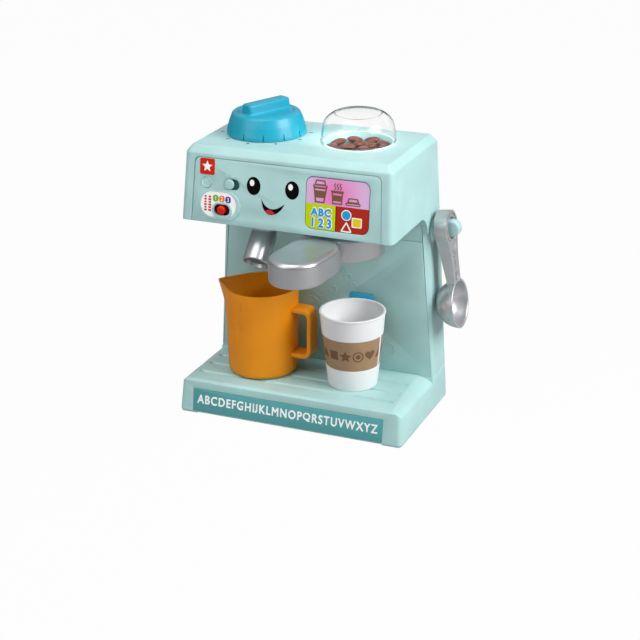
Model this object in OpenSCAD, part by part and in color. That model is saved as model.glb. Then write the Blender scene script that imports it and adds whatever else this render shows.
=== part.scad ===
// Toy coffee maker: a C-shaped machine with a drip tray, a serving bay and an overhanging head,
// a dial and a bean dome on its deck, and a jug, a cup and a scoop that lift off.
// The front faces -Y, X runs to the right when looking at the front, and Z = 0 is the table.

/* [Body] */
// Width of the body at its foot
body_w = 222; // [218:1:226]
// Depth of the body at its foot
body_d = 127; // [125:1:133]
// Depth of the column behind the bay
column_d = 36.5; // [36:0.5:39]
// Height of the drip tray above the table
tray_h = 33; // [31:0.5:38]
// Clear height of the serving bay
bay_h = 158.5; // [156:0.5:168]
// Height of the head from its underside to the deck
head_h = 67.5; // [66:0.5:74]
// Lean of both side walls, in degrees
side_draft = 2.75; // [2:0.25:3.5]
// How far the head front leans back over its height
head_lean = 8; // [6:0.5:10]
// How far the base front leans back over its height
base_lean = 6; // [4:0.5:8]
// How far the back leans forward over the whole height
back_lean = 2; // [1:0.5:3]
// How far the head front stands behind the base front
head_setback = 2.5; // [1:0.5:4]
// Wall thickness of the moulded shells
wall = 2.4; // [2.2:0.1:2.6]
// Height of the sloping edge round the deck
deck_edge_h = 6.5; // [5:0.5:8]
// Inward run of the sloping edge round the deck
deck_edge_in = 5.5; // [4:0.5:7]
// Radius of the hollow curve under the head
bay_fillet_r = 17; // [14:0.5:19]
// Height of the seam across the column front
seam_z = 165; // [162:0.5:168]

/* [Front panel] */
// Margin between the front panel and the head's side
panel_margin = 10.5; // [9:0.5:11]
// Margin between the front panel and the sloping edge above it
panel_top_margin = 3; // [2:0.5:4]
// Corner radius of the front panel
panel_r = 5; // [4:0.5:7]
// Width of the picture screen
screen_w = 59.4; // [54:0.2:61]
// Height of the picture screen
screen_h = 45.6; // [42:0.2:46]
// Corner radius of the picture screen
screen_r = 6.5; // [5:0.5:8]
// Margin between the screen and the front panel's side
screen_side = 9.8; // [9:0.2:11]
// Width of the stage label
stage_w = 38.6; // [36:0.2:39]
// Height of the stage label
stage_h = 25; // [24:0.5:26]
// Width of the slot for the stage slider
slot_w = 15.6; // [14:0.2:16]
// Radius of the stage slider's knob
slider_r = 4; // [3.6:0.1:4.4]
// Radius of the power switch's knob
switch_r = 4.6; // [4.2:0.1:4.8]
// Travel of the power switch
switch_travel = 5; // [4:0.5:6]
// Radius of the round push button
round_button_r = 5; // [4.5:0.1:5.5]
// Side of the plain corner tag
tag_side = 14.6; // [13:0.2:16]

/* [Deck] */
// Distance from the mid-plane to the dial's centre
dial_x = 47; // [45:0.5:49]
// Distance from the mid-plane to the dome's centre
dome_x = 42.5; // [42:0.5:47]
// Place of the dial and the dome from front to back
deck_item_y = 9; // [8:0.5:10]
// Radius of the dial's skirt
dial_r = 36.3; // [34:0.1:37]
// Height of the dial's rim above the deck
dial_rim_h = 20.5; // [18:0.5:23]
// Radius of the dial's rim
dial_rim_r = 28; // [26:0.5:30]
// Length of the grip bar
grip_l = 43; // [38:0.5:46]
// Width of the grip bar
grip_w = 13.5; // [12:0.5:15]
// Height of the grip bar above the rim
grip_h = 9; // [7:0.5:11]
// Resting direction of the grip bar, in degrees
grip_angle = 65; // [50:1:80]
// Radius of the clear dome at the deck
dome_r = 34.3; // [33:0.1:35.5]
// Height of the clear dome
dome_h = 29; // [27:0.5:31]
// Wall thickness of the clear dome
dome_wall = 1.6; // [1.4:0.1:1.8]
// Radius of the bean well's mouth
well_r = 31; // [29:0.5:31.5]
// Depth of the bean well
well_depth = 10; // [8:0.5:11]
// Groove radius of the pulley on the dial's shaft
dial_pulley_r = 12; // [11:0.5:14]
// Groove radius of the pulley on the bean table's shaft
table_pulley_r = 16; // [14:0.5:18]

/* [Bay] */
// Radius of the portafilter's drum
drum_r = 37; // [35:0.5:37.5]
// Height of the portafilter's drum
drum_h = 25; // [23:0.5:27]
// Place of the drum across the bay
drum_x = 40; // [38:0.5:42]
// Space between the drum and the column
drum_gap = 9; // [8:0.5:10]
// Radius of the paddle-shaped handle
paddle_r = 24; // [22:0.5:25]
// Length of the handle from the drum's centre to its tip
paddle_l = 111; // [104:1:116]
// Height of the handle
paddle_h = 22.5; // [20:0.5:23]
// Resting angle of the handle from straight ahead
paddle_angle = 6; // [3:0.5:9]
// Place of the steam spout across the bay
spout_x = -33; // [-36:0.5:-32]
// Place of the steam spout from front to back
spout_y = -31; // [-33:0.5:-28]
// Radius of the steam spout's arm
spout_r = 10.5; // [9.5:0.1:11]
// Length of the steam spout's nozzle
nozzle_l = 30; // [27:0.5:32]
// Tilt of the nozzle from straight down, in degrees
nozzle_tilt = 44; // [38:1:48]
// Width of the cup button
cup_button_w = 24.4; // [22:0.2:26]
// Height of the cup button
cup_button_h = 26; // [24:0.5:28]
// Place of the cup button across the column
cup_button_x = 38.5; // [37:0.5:40]
// Height of the cup button's centre above the tray
cup_button_z = 61.5; // [60:0.5:68]
// Travel of the cup button
cup_button_travel = 4; // [3:0.5:5]

/* [Drip tray] */
// Length of the grooves
groove_l = 192; // [180:1:196]
// Width of the grooves
groove_w = 4; // [3:0.5:5]
// Distance from groove to groove
groove_pitch = 20.3; // [18:0.1:20.4]
// Number of grooves
groove_count = 3; // [2:1:3]
// Width of the letter strip
strip_w = 190; // [180:1:192]
// Height of the letter strip
strip_h = 21; // [18:0.5:22]

/* [Hook and scoop] */
// Height of the hook above the table
hook_z = 175.6; // [172:0.2:178]
// Place of the hook from front to back
hook_y = 44; // [43.5:0.5:45]
// Length of the hook from the side wall
hook_l = 25.5; // [24:0.5:27]
// Height of the hook
hook_h = 15.6; // [14:0.2:16]
// Thickness of the hook
hook_t = 10; // [9:0.5:10.5]
// Radius of the hole in the scoop's loop
loop_hole_r = 10.2; // [10:0.1:10.5]
// Outer radius of the scoop's loop
loop_r = 16.5; // [15.5:0.5:18]
// Thickness of the scoop's handle
scoop_t = 11.4; // [10:0.2:12]
// Distance from the side wall to the scoop's loop
scoop_gap = 5.6; // [5:0.2:6.2]
// Outer radius of the scoop's bowl
bowl_r = 22.8; // [21:0.1:23]
// Distance from the loop's centre to the bowl's centre
scoop_l = 73; // [70:0.5:78]
// Width of the scoop's handle
scoop_w = 17; // [14:0.5:18]

/* [Jug and cup] */
// Radius of the jug at its rim
jug_rim_r = 34.6; // [32:0.1:35]
// Radius of the jug at its foot
jug_foot_r = 32.8; // [30:0.1:33]
// Radius of the rounding round the jug's foot
jug_foot_round = 8; // [6:0.5:10]
// Height of the jug
jug_h = 84; // [80:0.5:88]
// Wall thickness of the jug
jug_wall = 2.2; // [1.8:0.1:2.6]
// Reach of the jug's pouring lip from its axis
lip_reach = 47; // [44:0.5:49]
// Reach of the jug's handle from its axis
jug_handle_reach = 53; // [50:0.5:55]
// Width of the jug's handle strap
jug_handle_w = 17; // [13:0.5:19]
// Thickness of the jug's handle strap
jug_handle_t = 4.2; // [3.6:0.1:5]
// Height of the jug's handle
jug_handle_h = 49; // [44:0.5:54]
// Place of the jug across the tray
jug_x = -48; // [-50:0.5:-47]
// Space between the jug's rim and the column
jug_gap = 1; // [1:0.5:3]
// Radius of the cup at its rim
cup_rim_r = 30.2; // [28:0.1:31]
// Radius of the cup at its foot
cup_foot_r = 22.8; // [21:0.1:23.5]
// Height of the cup
cup_h = 72; // [68:0.5:76]
// Wall thickness of the cup
cup_wall = 2; // [1.8:0.1:2.4]
// Height of the sleeve's lower edge on the cup
sleeve_low = 21; // [18:0.5:23]
// Height of the sleeve's upper edge on the cup
sleeve_high = 51; // [49:0.5:54]
// Thickness of the sleeve
sleeve_t = 0.8; // [0.6:0.1:1]
// Place of the cup across the tray
cup_x = 43.5; // [42:0.5:45]
// Space between the cup's rim and the column
cup_gap = 6.2; // [5:0.2:7]

/* [Power] */
// Radius of one round cell
cell_r = 7.25; // [7:0.05:7.5]
// Length of one round cell
cell_l = 50.5; // [50:0.1:51]
// Number of cells side by side
cell_count = 3; // [2:1:3]

/* [Hidden] */
$fn = 64;

// Clearances
seam_gap = 0.3;      // between neighbouring shells
slide_gap = 0.35;    // round pieces that slide in a window
run_gap = 0.08;      // radial, round shafts
stand_gap = 0.02;    // under the jug and the cup
over = 1;            // overshoot of cuts

// Heights of the body
head_z = tray_h + bay_h;
deck_z = head_z + head_h;
edge_z = deck_z - deck_edge_h;
shell_foot = 0.8;
plate_z = 2;
plate_t = 2.4;

// Places from front to back
front_y = -body_d / 2;
back_y = body_d / 2;
column_y = back_y - column_d;
head_front_y = front_y + head_setback;
panel_tilt = atan2(head_lean, edge_z - head_z);
panel_top = edge_z - panel_top_margin;

function half_w(z) = body_w / 2 - z * tan(side_draft);
function back_at(z) = back_y - back_lean * z / deck_z;
function head_front(z) = head_front_y + head_lean * (z - head_z) / (edge_z - head_z);
function base_front(z) = front_y + base_lean * z / tray_h;
function arc(cx, cy, r, from, to, steps) =
    [for (k = [0 : steps]) let (a = from + (to - from) * k / steps) [cx + r * cos(a), cy + r * sin(a)]];

// Colours
aqua = [0.70, 0.86, 0.85];
teal = [0.28, 0.60, 0.62];
cyan = [0.20, 0.70, 0.81];
silver = [0.62, 0.63, 0.65];

// ---------------------------------------------------------------- helpers

// Extrudes an outline drawn as (y, z) along X.
module along_x(len) rotate([90, 0, 90]) linear_extrude(len, center = true) children();

// Extrudes an outline drawn as (x, z) along Y.
module along_y(len) rotate([90, 0, 0]) linear_extrude(len, center = true) children();

// A cylinder along Y that starts at the place where it is put and runs back.
module rod_y(r, len) rotate([-90, 0, 0]) cylinder(r = r, h = len);

// A rectangle with round corners, centred on the origin.
module round_rect(w, h, r) {
    square([w - 2 * r, h], center = true);
    square([w, h - 2 * r], center = true);
    for (x = [-1, 1], y = [-1, 1])
        translate([x * (w / 2 - r), y * (h / 2 - r)]) circle(r);
}

// A plate of a round rectangle, facing the front, from y to y + t.
module round_plate(w, h, r, t) rotate([90, 0, 0]) translate([0, 0, -t]) linear_extrude(t) round_rect(w, h, r);

// Places its children on the front panel's outer face; local Y runs into the head.
module on_panel(x, z) translate([x, head_front(z), z]) rotate([-panel_tilt, 0, 0]) children();

// Places its children on the right side wall; local X is the wall's outward normal.
module on_side(y, z) translate([half_w(z), y, z]) rotate([0, -side_draft, 0]) children();

// The body's outline as seen from the front, moved inwards by a distance.
module front_outline(inset, low) polygon([
    [-half_w(low) + inset, low], [half_w(low) - inset, low],
    [half_w(edge_z) - inset, edge_z - inset / 2], [half_w(edge_z) - deck_edge_in - inset / 2, deck_z - inset],
    [-half_w(edge_z) + deck_edge_in + inset / 2, deck_z - inset], [-half_w(edge_z) + inset, edge_z - inset / 2]]);

// The hollow curve between the head's underside and the column, grown by a distance.
function bay_curve(grow) = arc(column_y - bay_fillet_r, head_z - bay_fillet_r, bay_fillet_r + grow, 0, 90, 12);

// ---------------------------------------------------------------- body

boss_r = 4;
screw_r = 1.5;
screw_head_r = 2.8;
screw_head_t = 1.6;
short_screw_l = 9;
boss_rows = [tray_h + 22, (tray_h + seam_z) / 2 + 15, edge_z - 14];
boss_y = column_y + wall + 8;

function boss_x(z) = half_w(z) - wall - boss_r + 0.6;

module body_side_outline() polygon(concat(
    [[back_at(tray_h), tray_h], [column_y, tray_h]],
    bay_curve(0),
    [[head_front(head_z), head_z], [head_front(edge_z), edge_z],
     [head_front(edge_z) + deck_edge_in, deck_z], [back_at(edge_z) - deck_edge_in, deck_z],
     [back_at(edge_z), edge_z]]));

module cavity_side_outline() polygon([
    [body_d, tray_h - over], [column_y - bay_fillet_r - over, tray_h - over],
    [column_y - bay_fillet_r - over, head_z - over], [head_front(head_z) + wall, head_z - over],
    [head_front(edge_z) + wall, edge_z - wall / 2], [head_front(edge_z) + deck_edge_in + wall / 2, deck_z - wall],
    [back_at(edge_z) - deck_edge_in - wall / 2, deck_z - wall], [back_at(edge_z) - wall, edge_z - wall / 2],
    [back_at(edge_z) - wall, edge_z - 2 * wall], [body_d, edge_z - 2 * wall]]);

panel_half_foot = half_w(head_z) - panel_margin;
panel_half_top = half_w(panel_top) - panel_margin;

// The front panel's outline as seen from the front, drawn smaller by a gap.
module panel_outline(gap, drop) polygon(concat(
    [[-panel_half_foot + gap, head_z - drop], [panel_half_foot - gap, head_z - drop]],
    arc(panel_half_top - panel_r, panel_top - panel_r, panel_r - gap, 0, 90, 6),
    arc(-panel_half_top + panel_r, panel_top - panel_r, panel_r - gap, 90, 180, 6)));

dial_mark_count = 10;
dial_mark_start = 18;
dial_mark_gap = 2.1;           // between the skirt and the marks
dial_mark_size = [3.2, 1.2, 0.5];
shaft_r = 6;
boss_wall = 2.6;
shaft_boss_l = 13;

hook_root = 8;       // length of the hook inside the wall
hook_flange_t = 2.2;
hook_flange_rim = 3; // how far the flange stands out round the hook
snug_gap = 0.1;      // round pieces that are pushed into a seat

module body_shell() color(aqua) {
    difference() {
        intersection() {
            along_x(body_w + 2) body_side_outline();
            along_y(2 * body_d) front_outline(0, tray_h);
        }
        intersection() {
            along_x(body_w + 2) cavity_side_outline();
            along_y(2 * body_d) front_outline(wall, tray_h - over);
        }
        // opening for the front panel
        intersection() {
            along_y(2 * body_d) panel_outline(0, over);
            translate([-body_w / 2, head_front(edge_z) + wall + over - body_d, 0]) cube([body_w, body_d, deck_z]);
        }
        // dial shaft and bean well
        translate([-dial_x, deck_item_y, deck_z - 2 * wall]) cylinder(r = shaft_r + run_gap, h = 3 * wall);
        translate([dome_x, deck_item_y, deck_z - 2 * wall]) cylinder(r = well_r + well_wall + slide_gap, h = 3 * wall);
        // marks round the dial
        for (k = [0 : dial_mark_count - 1])
            translate([-dial_x, deck_item_y, deck_z - dial_mark_size[2]])
                rotate([0, 0, dial_mark_start + k * 360 / dial_mark_count])
                    translate([dial_r + dial_mark_gap, -dial_mark_size[1] / 2, 0])
                        cube([dial_mark_size[0], dial_mark_size[1], over]);
        // slot for the hook
        on_side(hook_y, hook_z) translate([-2 * wall, -hook_t / 2 - snug_gap, -hook_h / 2 - snug_gap])
            cube([3 * wall, hook_t + 2 * snug_gap, hook_h + 2 * snug_gap]);
    }
    // bearing tube of the dial
    difference() {
        translate([-dial_x, deck_item_y, deck_z - wall - shaft_boss_l])
            cylinder(r = shaft_r + run_gap + boss_wall, h = shaft_boss_l + wall / 2);
        translate([-dial_x, deck_item_y, deck_z - 3 * wall - shaft_boss_l])
            cylinder(r = shaft_r + run_gap, h = shaft_boss_l + 4 * wall);
    }
    // screw bosses for the rear cover
    for (side = [-1, 1], z = boss_rows)
        difference() {
            translate([side * boss_x(z), boss_y, z]) rod_y(boss_r, back_at(z) - wall - 0.4 - boss_y);
            translate([side * boss_x(z), boss_y - over, z]) rod_y(screw_r, column_d);
        }
}

module rear_plate() difference() {
    intersection() {
        along_x(body_w) polygon([
            [back_at(tray_h) - wall, tray_h + seam_gap], [back_at(tray_h), tray_h + seam_gap],
            [back_at(edge_z), edge_z - 2 * wall - seam_gap], [back_at(edge_z) - wall, edge_z - 2 * wall - seam_gap]]);
        along_y(2 * body_d) front_outline(wall + seam_gap, tray_h);
    }
    for (side = [-1, 1], z = boss_rows)
        translate([side * boss_x(z), back_at(z) - 2 * wall, z]) {
            rod_y(screw_r + 0.2, 3 * wall);
            translate([0, 2 * wall - screw_head_t, 0]) rod_y(screw_head_r + 0.2, wall);
        }
    // sound holes in rings
    for (ring = [0 : 2], k = [0 : max(0, ring * 6 - 1)])
        translate([ring * sound_pitch * cos(k * 60 / max(ring, 1)), back_at(speaker_z) - 2 * wall,
                   speaker_z + ring * sound_pitch * sin(k * 60 / max(ring, 1))]) rod_y(sound_hole_r, 3 * wall);
}

sound_pitch = 7;
sound_hole_r = 1.6;
speaker_ring_w = 1.5;
speaker_ring_l = 5;

// The rear cover with the ring that holds the speaker.
module rear_cover() color(aqua) {
    rear_plate();
    translate([0, back_at(speaker_z) - wall - speaker_ring_l, speaker_z]) difference() {
        rod_y(speaker_r + seam_gap + speaker_ring_w, speaker_ring_l + wall / 4);
        translate([0, -over, 0]) rod_y(speaker_r + seam_gap, speaker_ring_l + wall);
    }
}

module head_underside() color(aqua) difference() {
    intersection() {
        along_x(body_w) polygon(concat(
            [[column_y, seam_z]],
            bay_curve(0),
            [[head_front(head_z) + wall + seam_gap, head_z], [head_front(head_z) + wall + seam_gap, head_z + wall]],
            [for (p = [12 : -1 : 0]) bay_curve(wall)[p]],
            [[column_y + wall, seam_z]]));
        along_y(2 * body_d) front_outline(wall + seam_gap, seam_z);
    }
    translate([drum_x, drum_y, head_z - over]) cylinder(r = pivot_r + run_gap, h = 3 * wall);
    translate([spout_x, spout_y, head_z - over]) cylinder(r = spout_pivot_r + run_gap, h = 3 * wall);
}

module column_front() color(aqua) {
    difference() {
        intersection() {
            translate([-body_w / 2, column_y, tray_h]) cube([body_w, wall, seam_z - tray_h - seam_gap]);
            along_y(2 * body_d) front_outline(wall + seam_gap, tray_h);
        }
        cup_button_window(over);
    }
    // sleeve that guides the cup button
    difference() {
        translate([cup_button_x, column_y + wall / 2, tray_h + cup_button_z])
            round_plate(cup_button_w + 2 * slide_gap + 2 * wall, cup_button_h + 2 * slide_gap + 2 * wall, 3 + wall,
                        button_sleeve_l);
        cup_button_window(over);
    }
    // posts for the button board
    for (side = [-1, 1])
        difference() {
            translate([cup_button_x + side * button_post_x, column_y + wall / 2, tray_h + cup_button_z])
                rod_y(boss_r, button_board_y - column_y - wall / 2);
            translate([cup_button_x + side * button_post_x, column_y + wall, tray_h + cup_button_z])
                rod_y(screw_r, column_d);
        }
}

module housing_screws() color("silver")
    for (side = [-1, 1], z = boss_rows)
        translate([side * boss_x(z), back_at(z) - screw_head_t, z]) {
            rod_y(screw_head_r, screw_head_t);
            translate([0, -short_screw_l, 0]) rod_y(screw_r - run_gap, short_screw_l + screw_head_t / 2);
        }

// ---------------------------------------------------------------- base

tray_x = half_w(tray_h);
door_side = 11.75;   // room beside a cell for its spring, the box's end and the door's screw
door_w = cell_l + 2 * door_side;
door_d = 50;
door_t = 2.2;
groove_depth = 1.2;
cable_hole = [60, 18];
cable_hole_gap = 4;  // between the column's front wall and the hole

tray_edge = 1.6;     // bevel along the tray's front
tray_edge_z = tray_h - tray_edge;

module base_shell() color(aqua) difference() {
    intersection() {
        along_x(body_w + 2) polygon([
            [back_at(0), shell_foot], [base_front(shell_foot), shell_foot], [base_front(tray_edge_z), tray_edge_z],
            [base_front(tray_edge_z) + tray_edge, tray_h], [back_at(tray_h), tray_h]]);
        along_y(2 * body_d) polygon([
            [-half_w(shell_foot), shell_foot], [half_w(shell_foot), shell_foot],
            [tray_x, tray_h], [-tray_x, tray_h]]);
    }
    intersection() {
        along_x(body_w + 2) polygon([
            [back_at(0) - wall, shell_foot - over], [base_front(shell_foot) + wall, shell_foot - over],
            [base_front(tray_h - 2 * wall) + wall, tray_h - 2 * wall],
            [base_front(tray_h - wall) + 2 * wall, tray_h - wall], [back_at(tray_h) - wall, tray_h - wall]]);
        along_y(2 * body_d) polygon([
            [-half_w(shell_foot) + wall, shell_foot - over], [half_w(shell_foot) - wall, shell_foot - over],
            [tray_x - wall, tray_h - wall], [-tray_x + wall, tray_h - wall]]);
    }
    // grooves of the drip tray
    for (k = [0 : groove_count - 1])
        translate([-groove_l / 2, groove_y(k) - groove_w / 2, tray_h - groove_depth])
            cube([groove_l, groove_w, groove_depth + over]);
    // way for the leads into the column
    translate([-cable_hole[0] / 2, column_y + wall + cable_hole_gap, tray_h - 2 * wall])
        cube([cable_hole[0], cable_hole[1], 3 * wall]);
    // seat of the letter strip
    strip_plate(0, over);
}

groove_back = 24;    // from the column to the rearmost groove

function groove_y(k) = column_y - groove_back - k * groove_pitch;

base_tilt = atan2(base_lean, tray_h);
strip_z = tray_h / 2 - 2.5;
strip_t = 0.8;

// The letter strip's plate: its back lies strip_t deep in the base front; it stands out by extra.
module strip_plate(gap, extra)
    translate([0, base_front(strip_z), strip_z]) rotate([-base_tilt, 0, 0])
        translate([0, -extra, 0]) round_plate(strip_w - 2 * gap, strip_h - 2 * gap, 1.2, strip_t + extra);

module letter_strip() color(teal) strip_plate(0.15, 0.1);

plate_front = base_front(plate_z) + wall + 2.5 * seam_gap;
plate_back = back_at(tray_h) - wall - seam_gap;

module base_plate() color(aqua) difference() {
    intersection() {
        translate([-body_w / 2, plate_front, plate_z]) cube([body_w, plate_back - plate_front, plate_t]);
        along_y(2 * body_d) polygon([
            [-half_w(0) + wall + seam_gap, 0], [half_w(0) - wall - seam_gap, 0],
            [half_w(20) - wall - seam_gap, 20], [-half_w(20) + wall + seam_gap, 20]]);
    }
    translate([-door_w / 2, battery_y - door_d / 2, plate_z - over]) cube([door_w, door_d, plate_t + 2 * over]);
}

foot_x = body_w / 2 - 20;
foot_y = body_d / 2 - 15;
foot_r = 7;

module rubber_feet() color([0.25, 0.25, 0.26])
    for (place = [[-foot_x, -foot_y], [foot_x, -foot_y], [-foot_x, foot_y], [foot_x, foot_y], [0, 0]])
        translate([place[0], place[1], 0]) cylinder(r1 = foot_r - 0.8, r2 = foot_r, h = plate_z);

// ---------------------------------------------------------------- batteries

door_margin = 2.5;   // of the base plate behind the battery door
battery_y = plate_back - door_margin - door_d / 2;
box_wall = 1.6;
box_floor_z = plate_z + plate_t;
cell_pitch = 2 * cell_r + 1;
cell_z = box_floor_z + cell_r + 0.15;
cell_end_gap = 4.5;  // beside a cell, for its spring
box_in_w = cell_l + 2 * cell_end_gap;
box_in_d = cell_count * cell_pitch + 1;
box_in_h = 2 * cell_r + 0.6;
boss_hole_l = 10;

module battery_box() color([0.85, 0.86, 0.86]) difference() {
    translate([-door_w / 2 - box_wall, battery_y - door_d / 2 - box_wall, box_floor_z])
        cube([door_w + 2 * box_wall, door_d + 2 * box_wall, box_in_h + box_wall]);
    translate([-box_in_w / 2, battery_y - box_in_d / 2, box_floor_z - over])
        cube([box_in_w, box_in_d, box_in_h + over]);
    translate([door_screw_x, battery_y, box_floor_z - over]) cylinder(r = screw_r, h = boss_hole_l);
}

function cell_y(k) = battery_y + (k - (cell_count - 1) / 2) * cell_pitch;

cell_nub = [2.6, 1.5];   // radius and length of the positive end

module batteries() color([0.25, 0.45, 0.30])
    for (k = [0 : cell_count - 1])
        translate([0, cell_y(k), cell_z]) rotate([0, 90, 0]) {
            translate([0, 0, -cell_l / 2]) cylinder(r = cell_r, h = cell_l - 1);
            translate([0, 0, cell_l / 2 - cell_nub[1]]) cylinder(r = cell_nub[0], h = cell_nub[1]);
        }

contact_t = 0.6;
contact_h = 12;
contact_x = (box_in_w - contact_t) / 2;
contact_spring_r = [4.2, 3];

module battery_contacts() color([0.78, 0.78, 0.74])
    for (side = [-1, 1]) {
        translate([side * contact_x, battery_y, cell_z]) cube([contact_t, box_in_d - 1, contact_h], center = true);
        for (k = [0 : cell_count - 1])
            translate([side * contact_x, cell_y(k), cell_z]) rotate([0, -90 * side, 0])
                cylinder(r1 = contact_spring_r[0], r2 = contact_spring_r[1], h = contact_x - cell_l / 2 - snug_gap);
    }

door_screw_x = (door_w + box_in_w) / 4;

module battery_door() color(aqua) difference() {
    translate([-door_w / 2 + seam_gap, battery_y - door_d / 2 + seam_gap, plate_z])
        cube([door_w - 2 * seam_gap, door_d - 2 * seam_gap, door_t]);
    translate([door_screw_x, battery_y, plate_z - over]) {
        cylinder(r = screw_r + 0.2, h = 2 * plate_t);
        cylinder(r = screw_head_r + 0.2, h = over + screw_head_t / 2);
    }
    for (k = [-3 : 3])
        translate([-door_w / 2 + 8, battery_y + k * 4 - 0.6, plate_z - over]) cube([7, 1.2, over + 0.6]);
}

module battery_door_screw() color("silver")
    translate([door_screw_x, battery_y, plate_z]) {
        cylinder(r = screw_head_r, h = screw_head_t / 2);
        cylinder(r = screw_r - run_gap, h = short_screw_l);
    }

// ---------------------------------------------------------------- front panel and what it carries

board_y = 11;
board_t = 1.6;
board_h = 42;
board_edge = 5;      // of the main board outside its screws
board_z = (head_z + edge_z) / 2;
lens_t = 1.4;
lens_seat = 1;
post_side = 6.5;     // between the posts' axes and the front panel's side
board_post_x = panel_half_top - post_side;
board_post_z = 16;
board_w = 2 * (board_post_x + board_edge);
slot_h = 2 * slider_r + 1.6;
stage_side = 28.5;   // from the front panel's side to the stage label's middle
tag_side_gap = 12.5; // from the front panel's side to the tag's middle
tag_down = 11;       // these run down from the sloping edge round the deck
button_down = 25;
screen_down = 32.3;
switch_step = 22.2;  // from the round button to the power switch
stage_x = stage_side - panel_half_foot;
stage_z = head_z + 16;
slot_x = stage_x + 1.8;
slot_z = head_z + 12.6;
tag_x = tag_side_gap - panel_half_top;
tag_z = edge_z - tag_down;
button_x = tag_x - 0.6;
button_z = edge_z - button_down;
switch_x = button_x + switch_step;
screen_x = panel_half_top - screen_side - screen_w / 2;
screen_z = edge_z - screen_down;
pocket_gap = 0.3;    // round the switch knob in its pocket
switch_pocket_w = 2 * (switch_r + pocket_gap) + switch_travel;
switch_pocket_h = 2 * (switch_r + pocket_gap);
switch_pocket_x = switch_x + switch_travel / 2;
pocket_depth = 1.2;
lens_ledge = 2.5;
tag_seat = 0.3;
slot_lip = [1.6, 1.5];   // width and height of the lip round the slider's slot
switch_stem = 2.6;
stem_gap = 0.4;

module front_panel() color(aqua) {
    difference() {
        intersection() {
            along_x(body_w) polygon([
                [head_front(head_z), head_z], [head_front(head_z) + wall, head_z],
                [head_front(panel_top) + wall, panel_top], [head_front(panel_top), panel_top]]);
            along_y(2 * body_d) panel_outline(seam_gap, 0);
        }
        on_panel(screen_x, screen_z) {
            translate([0, -over, 0]) round_plate(screen_w, screen_h, screen_r, lens_seat + over);
            round_plate(screen_w - 2 * lens_ledge, screen_h - 2 * lens_ledge, screen_r - 2, 2 * wall);
        }
        on_panel(button_x, button_z) translate([0, -over, 0]) rod_y(round_button_r + button_gap, 3 * wall);
        on_panel(switch_pocket_x, button_z) {
            translate([0, -over, 0])
                round_plate(switch_pocket_w, switch_pocket_h, switch_pocket_h / 2 - snug_gap, pocket_depth + over);
            round_plate(switch_travel + switch_stem + 2 * stem_gap, switch_stem + 2 * stem_gap, stem_gap, 2 * wall);
        }
        on_panel(slot_x, slot_z) translate([0, -2 * over, 0]) slot_plate(0, 3 * wall);
        on_panel(tag_x, tag_z) translate([0, -over, 0]) round_plate(tag_side, tag_side, tag_r, over + tag_seat);
    }
    // raised lip round the slider's slot
    on_panel(slot_x, slot_z) translate([0, -slot_lip[1], 0]) difference() {
        slot_plate(slot_lip[0], slot_lip[1] + wall / 8);
        translate([0, -over, 0]) slot_plate(0, 3 * wall);
    }
    // posts for the main board
    for (x = [-1, 1], z = [-1, 1])
        on_panel(x * board_post_x, board_z + z * board_post_z) difference() {
            translate([0, wall / 2, 0]) rod_y(boss_r - 1, board_y - wall / 2);
            translate([0, wall, 0]) rod_y(screw_r - 0.4, board_y);
        }
}

// The slider slot's outline as a plate, grown by a distance.
module slot_plate(grow, t) round_plate(slot_w + 2 * grow, slot_h + 2 * grow, slot_h / 2 - 0.2 + grow, t);

module screen_lens() color([0.89, 0.60, 0.80]) on_panel(screen_x, screen_z)
    translate([0, lens_seat - lens_t, 0])
        round_plate(screen_w - 4 * snug_gap, screen_h - 4 * snug_gap, screen_r - 2 * snug_gap, lens_t);

tag_r = 2;
label_t = 0.6;

module corner_tag() color([0.85, 0.20, 0.10]) on_panel(tag_x, tag_z)
    translate([0, -tag_seat, 0])
        round_plate(tag_side - 2 * snug_gap, tag_side - 2 * snug_gap, tag_r - snug_gap, 2 * tag_seat);

module stage_label() color("white") on_panel(stage_x, stage_z) difference() {
    translate([0, -label_t, 0]) round_plate(stage_w, stage_h, stage_h / 2 - snug_gap, label_t);
    translate([slot_x - stage_x, -2 * over, slot_z - stage_z]) slot_plate(slot_lip[0] + 2 * snug_gap, 3 * over);
}

carrier_t = 1.4;     // plate behind the panel that keeps a slider in

// A sliding knob with a stem through the panel and a carrier plate behind it.
module slider(r, out, plate_w, plate_h) {
    translate([0, -out, 0]) rod_y(r, out + pocket_depth - 2 * snug_gap);
    translate([0, pocket_depth / 2, 0]) round_plate(switch_stem, switch_stem, stem_gap, wall);
    translate([0, wall + seam_gap, 0]) round_plate(plate_w, plate_h, 0.8, carrier_t);
}

module stage_slider() color([0.85, 0.14, 0.06]) on_panel(slot_x, slot_z)
    slider(slider_r, 3, slot_w + 4, slot_h - 1);

module power_switch() color(aqua) on_panel(switch_x, button_z)
    slider(switch_r, 1.2, switch_travel + 8, switch_stem + 4.4);

button_gap = 0.2;
button_out = 0.7;
button_travel = 1.5;
button_flange = [1.4, 1.4];   // width and thickness of the rim that keeps the button in
plunger_r = 1.6;
button_spring_r = 3;
button_wire_r = 0.35;
switch_can_l = 2.5;
switch_body_h = 6;

module round_button() color(aqua) on_panel(button_x, button_z) {
    translate([0, -button_out, 0]) rod_y(round_button_r, button_out + wall + button_flange[1] / 2);
    translate([0, wall + button_gap, 0]) rod_y(round_button_r + button_flange[0], button_flange[1]);
    translate([0, wall + over, 0])
        rod_y(plunger_r, board_y - wall - over - switch_can_l - button_travel - stem_gap);
}

coil_sides = 6;
coil_steps = 14;

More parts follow.
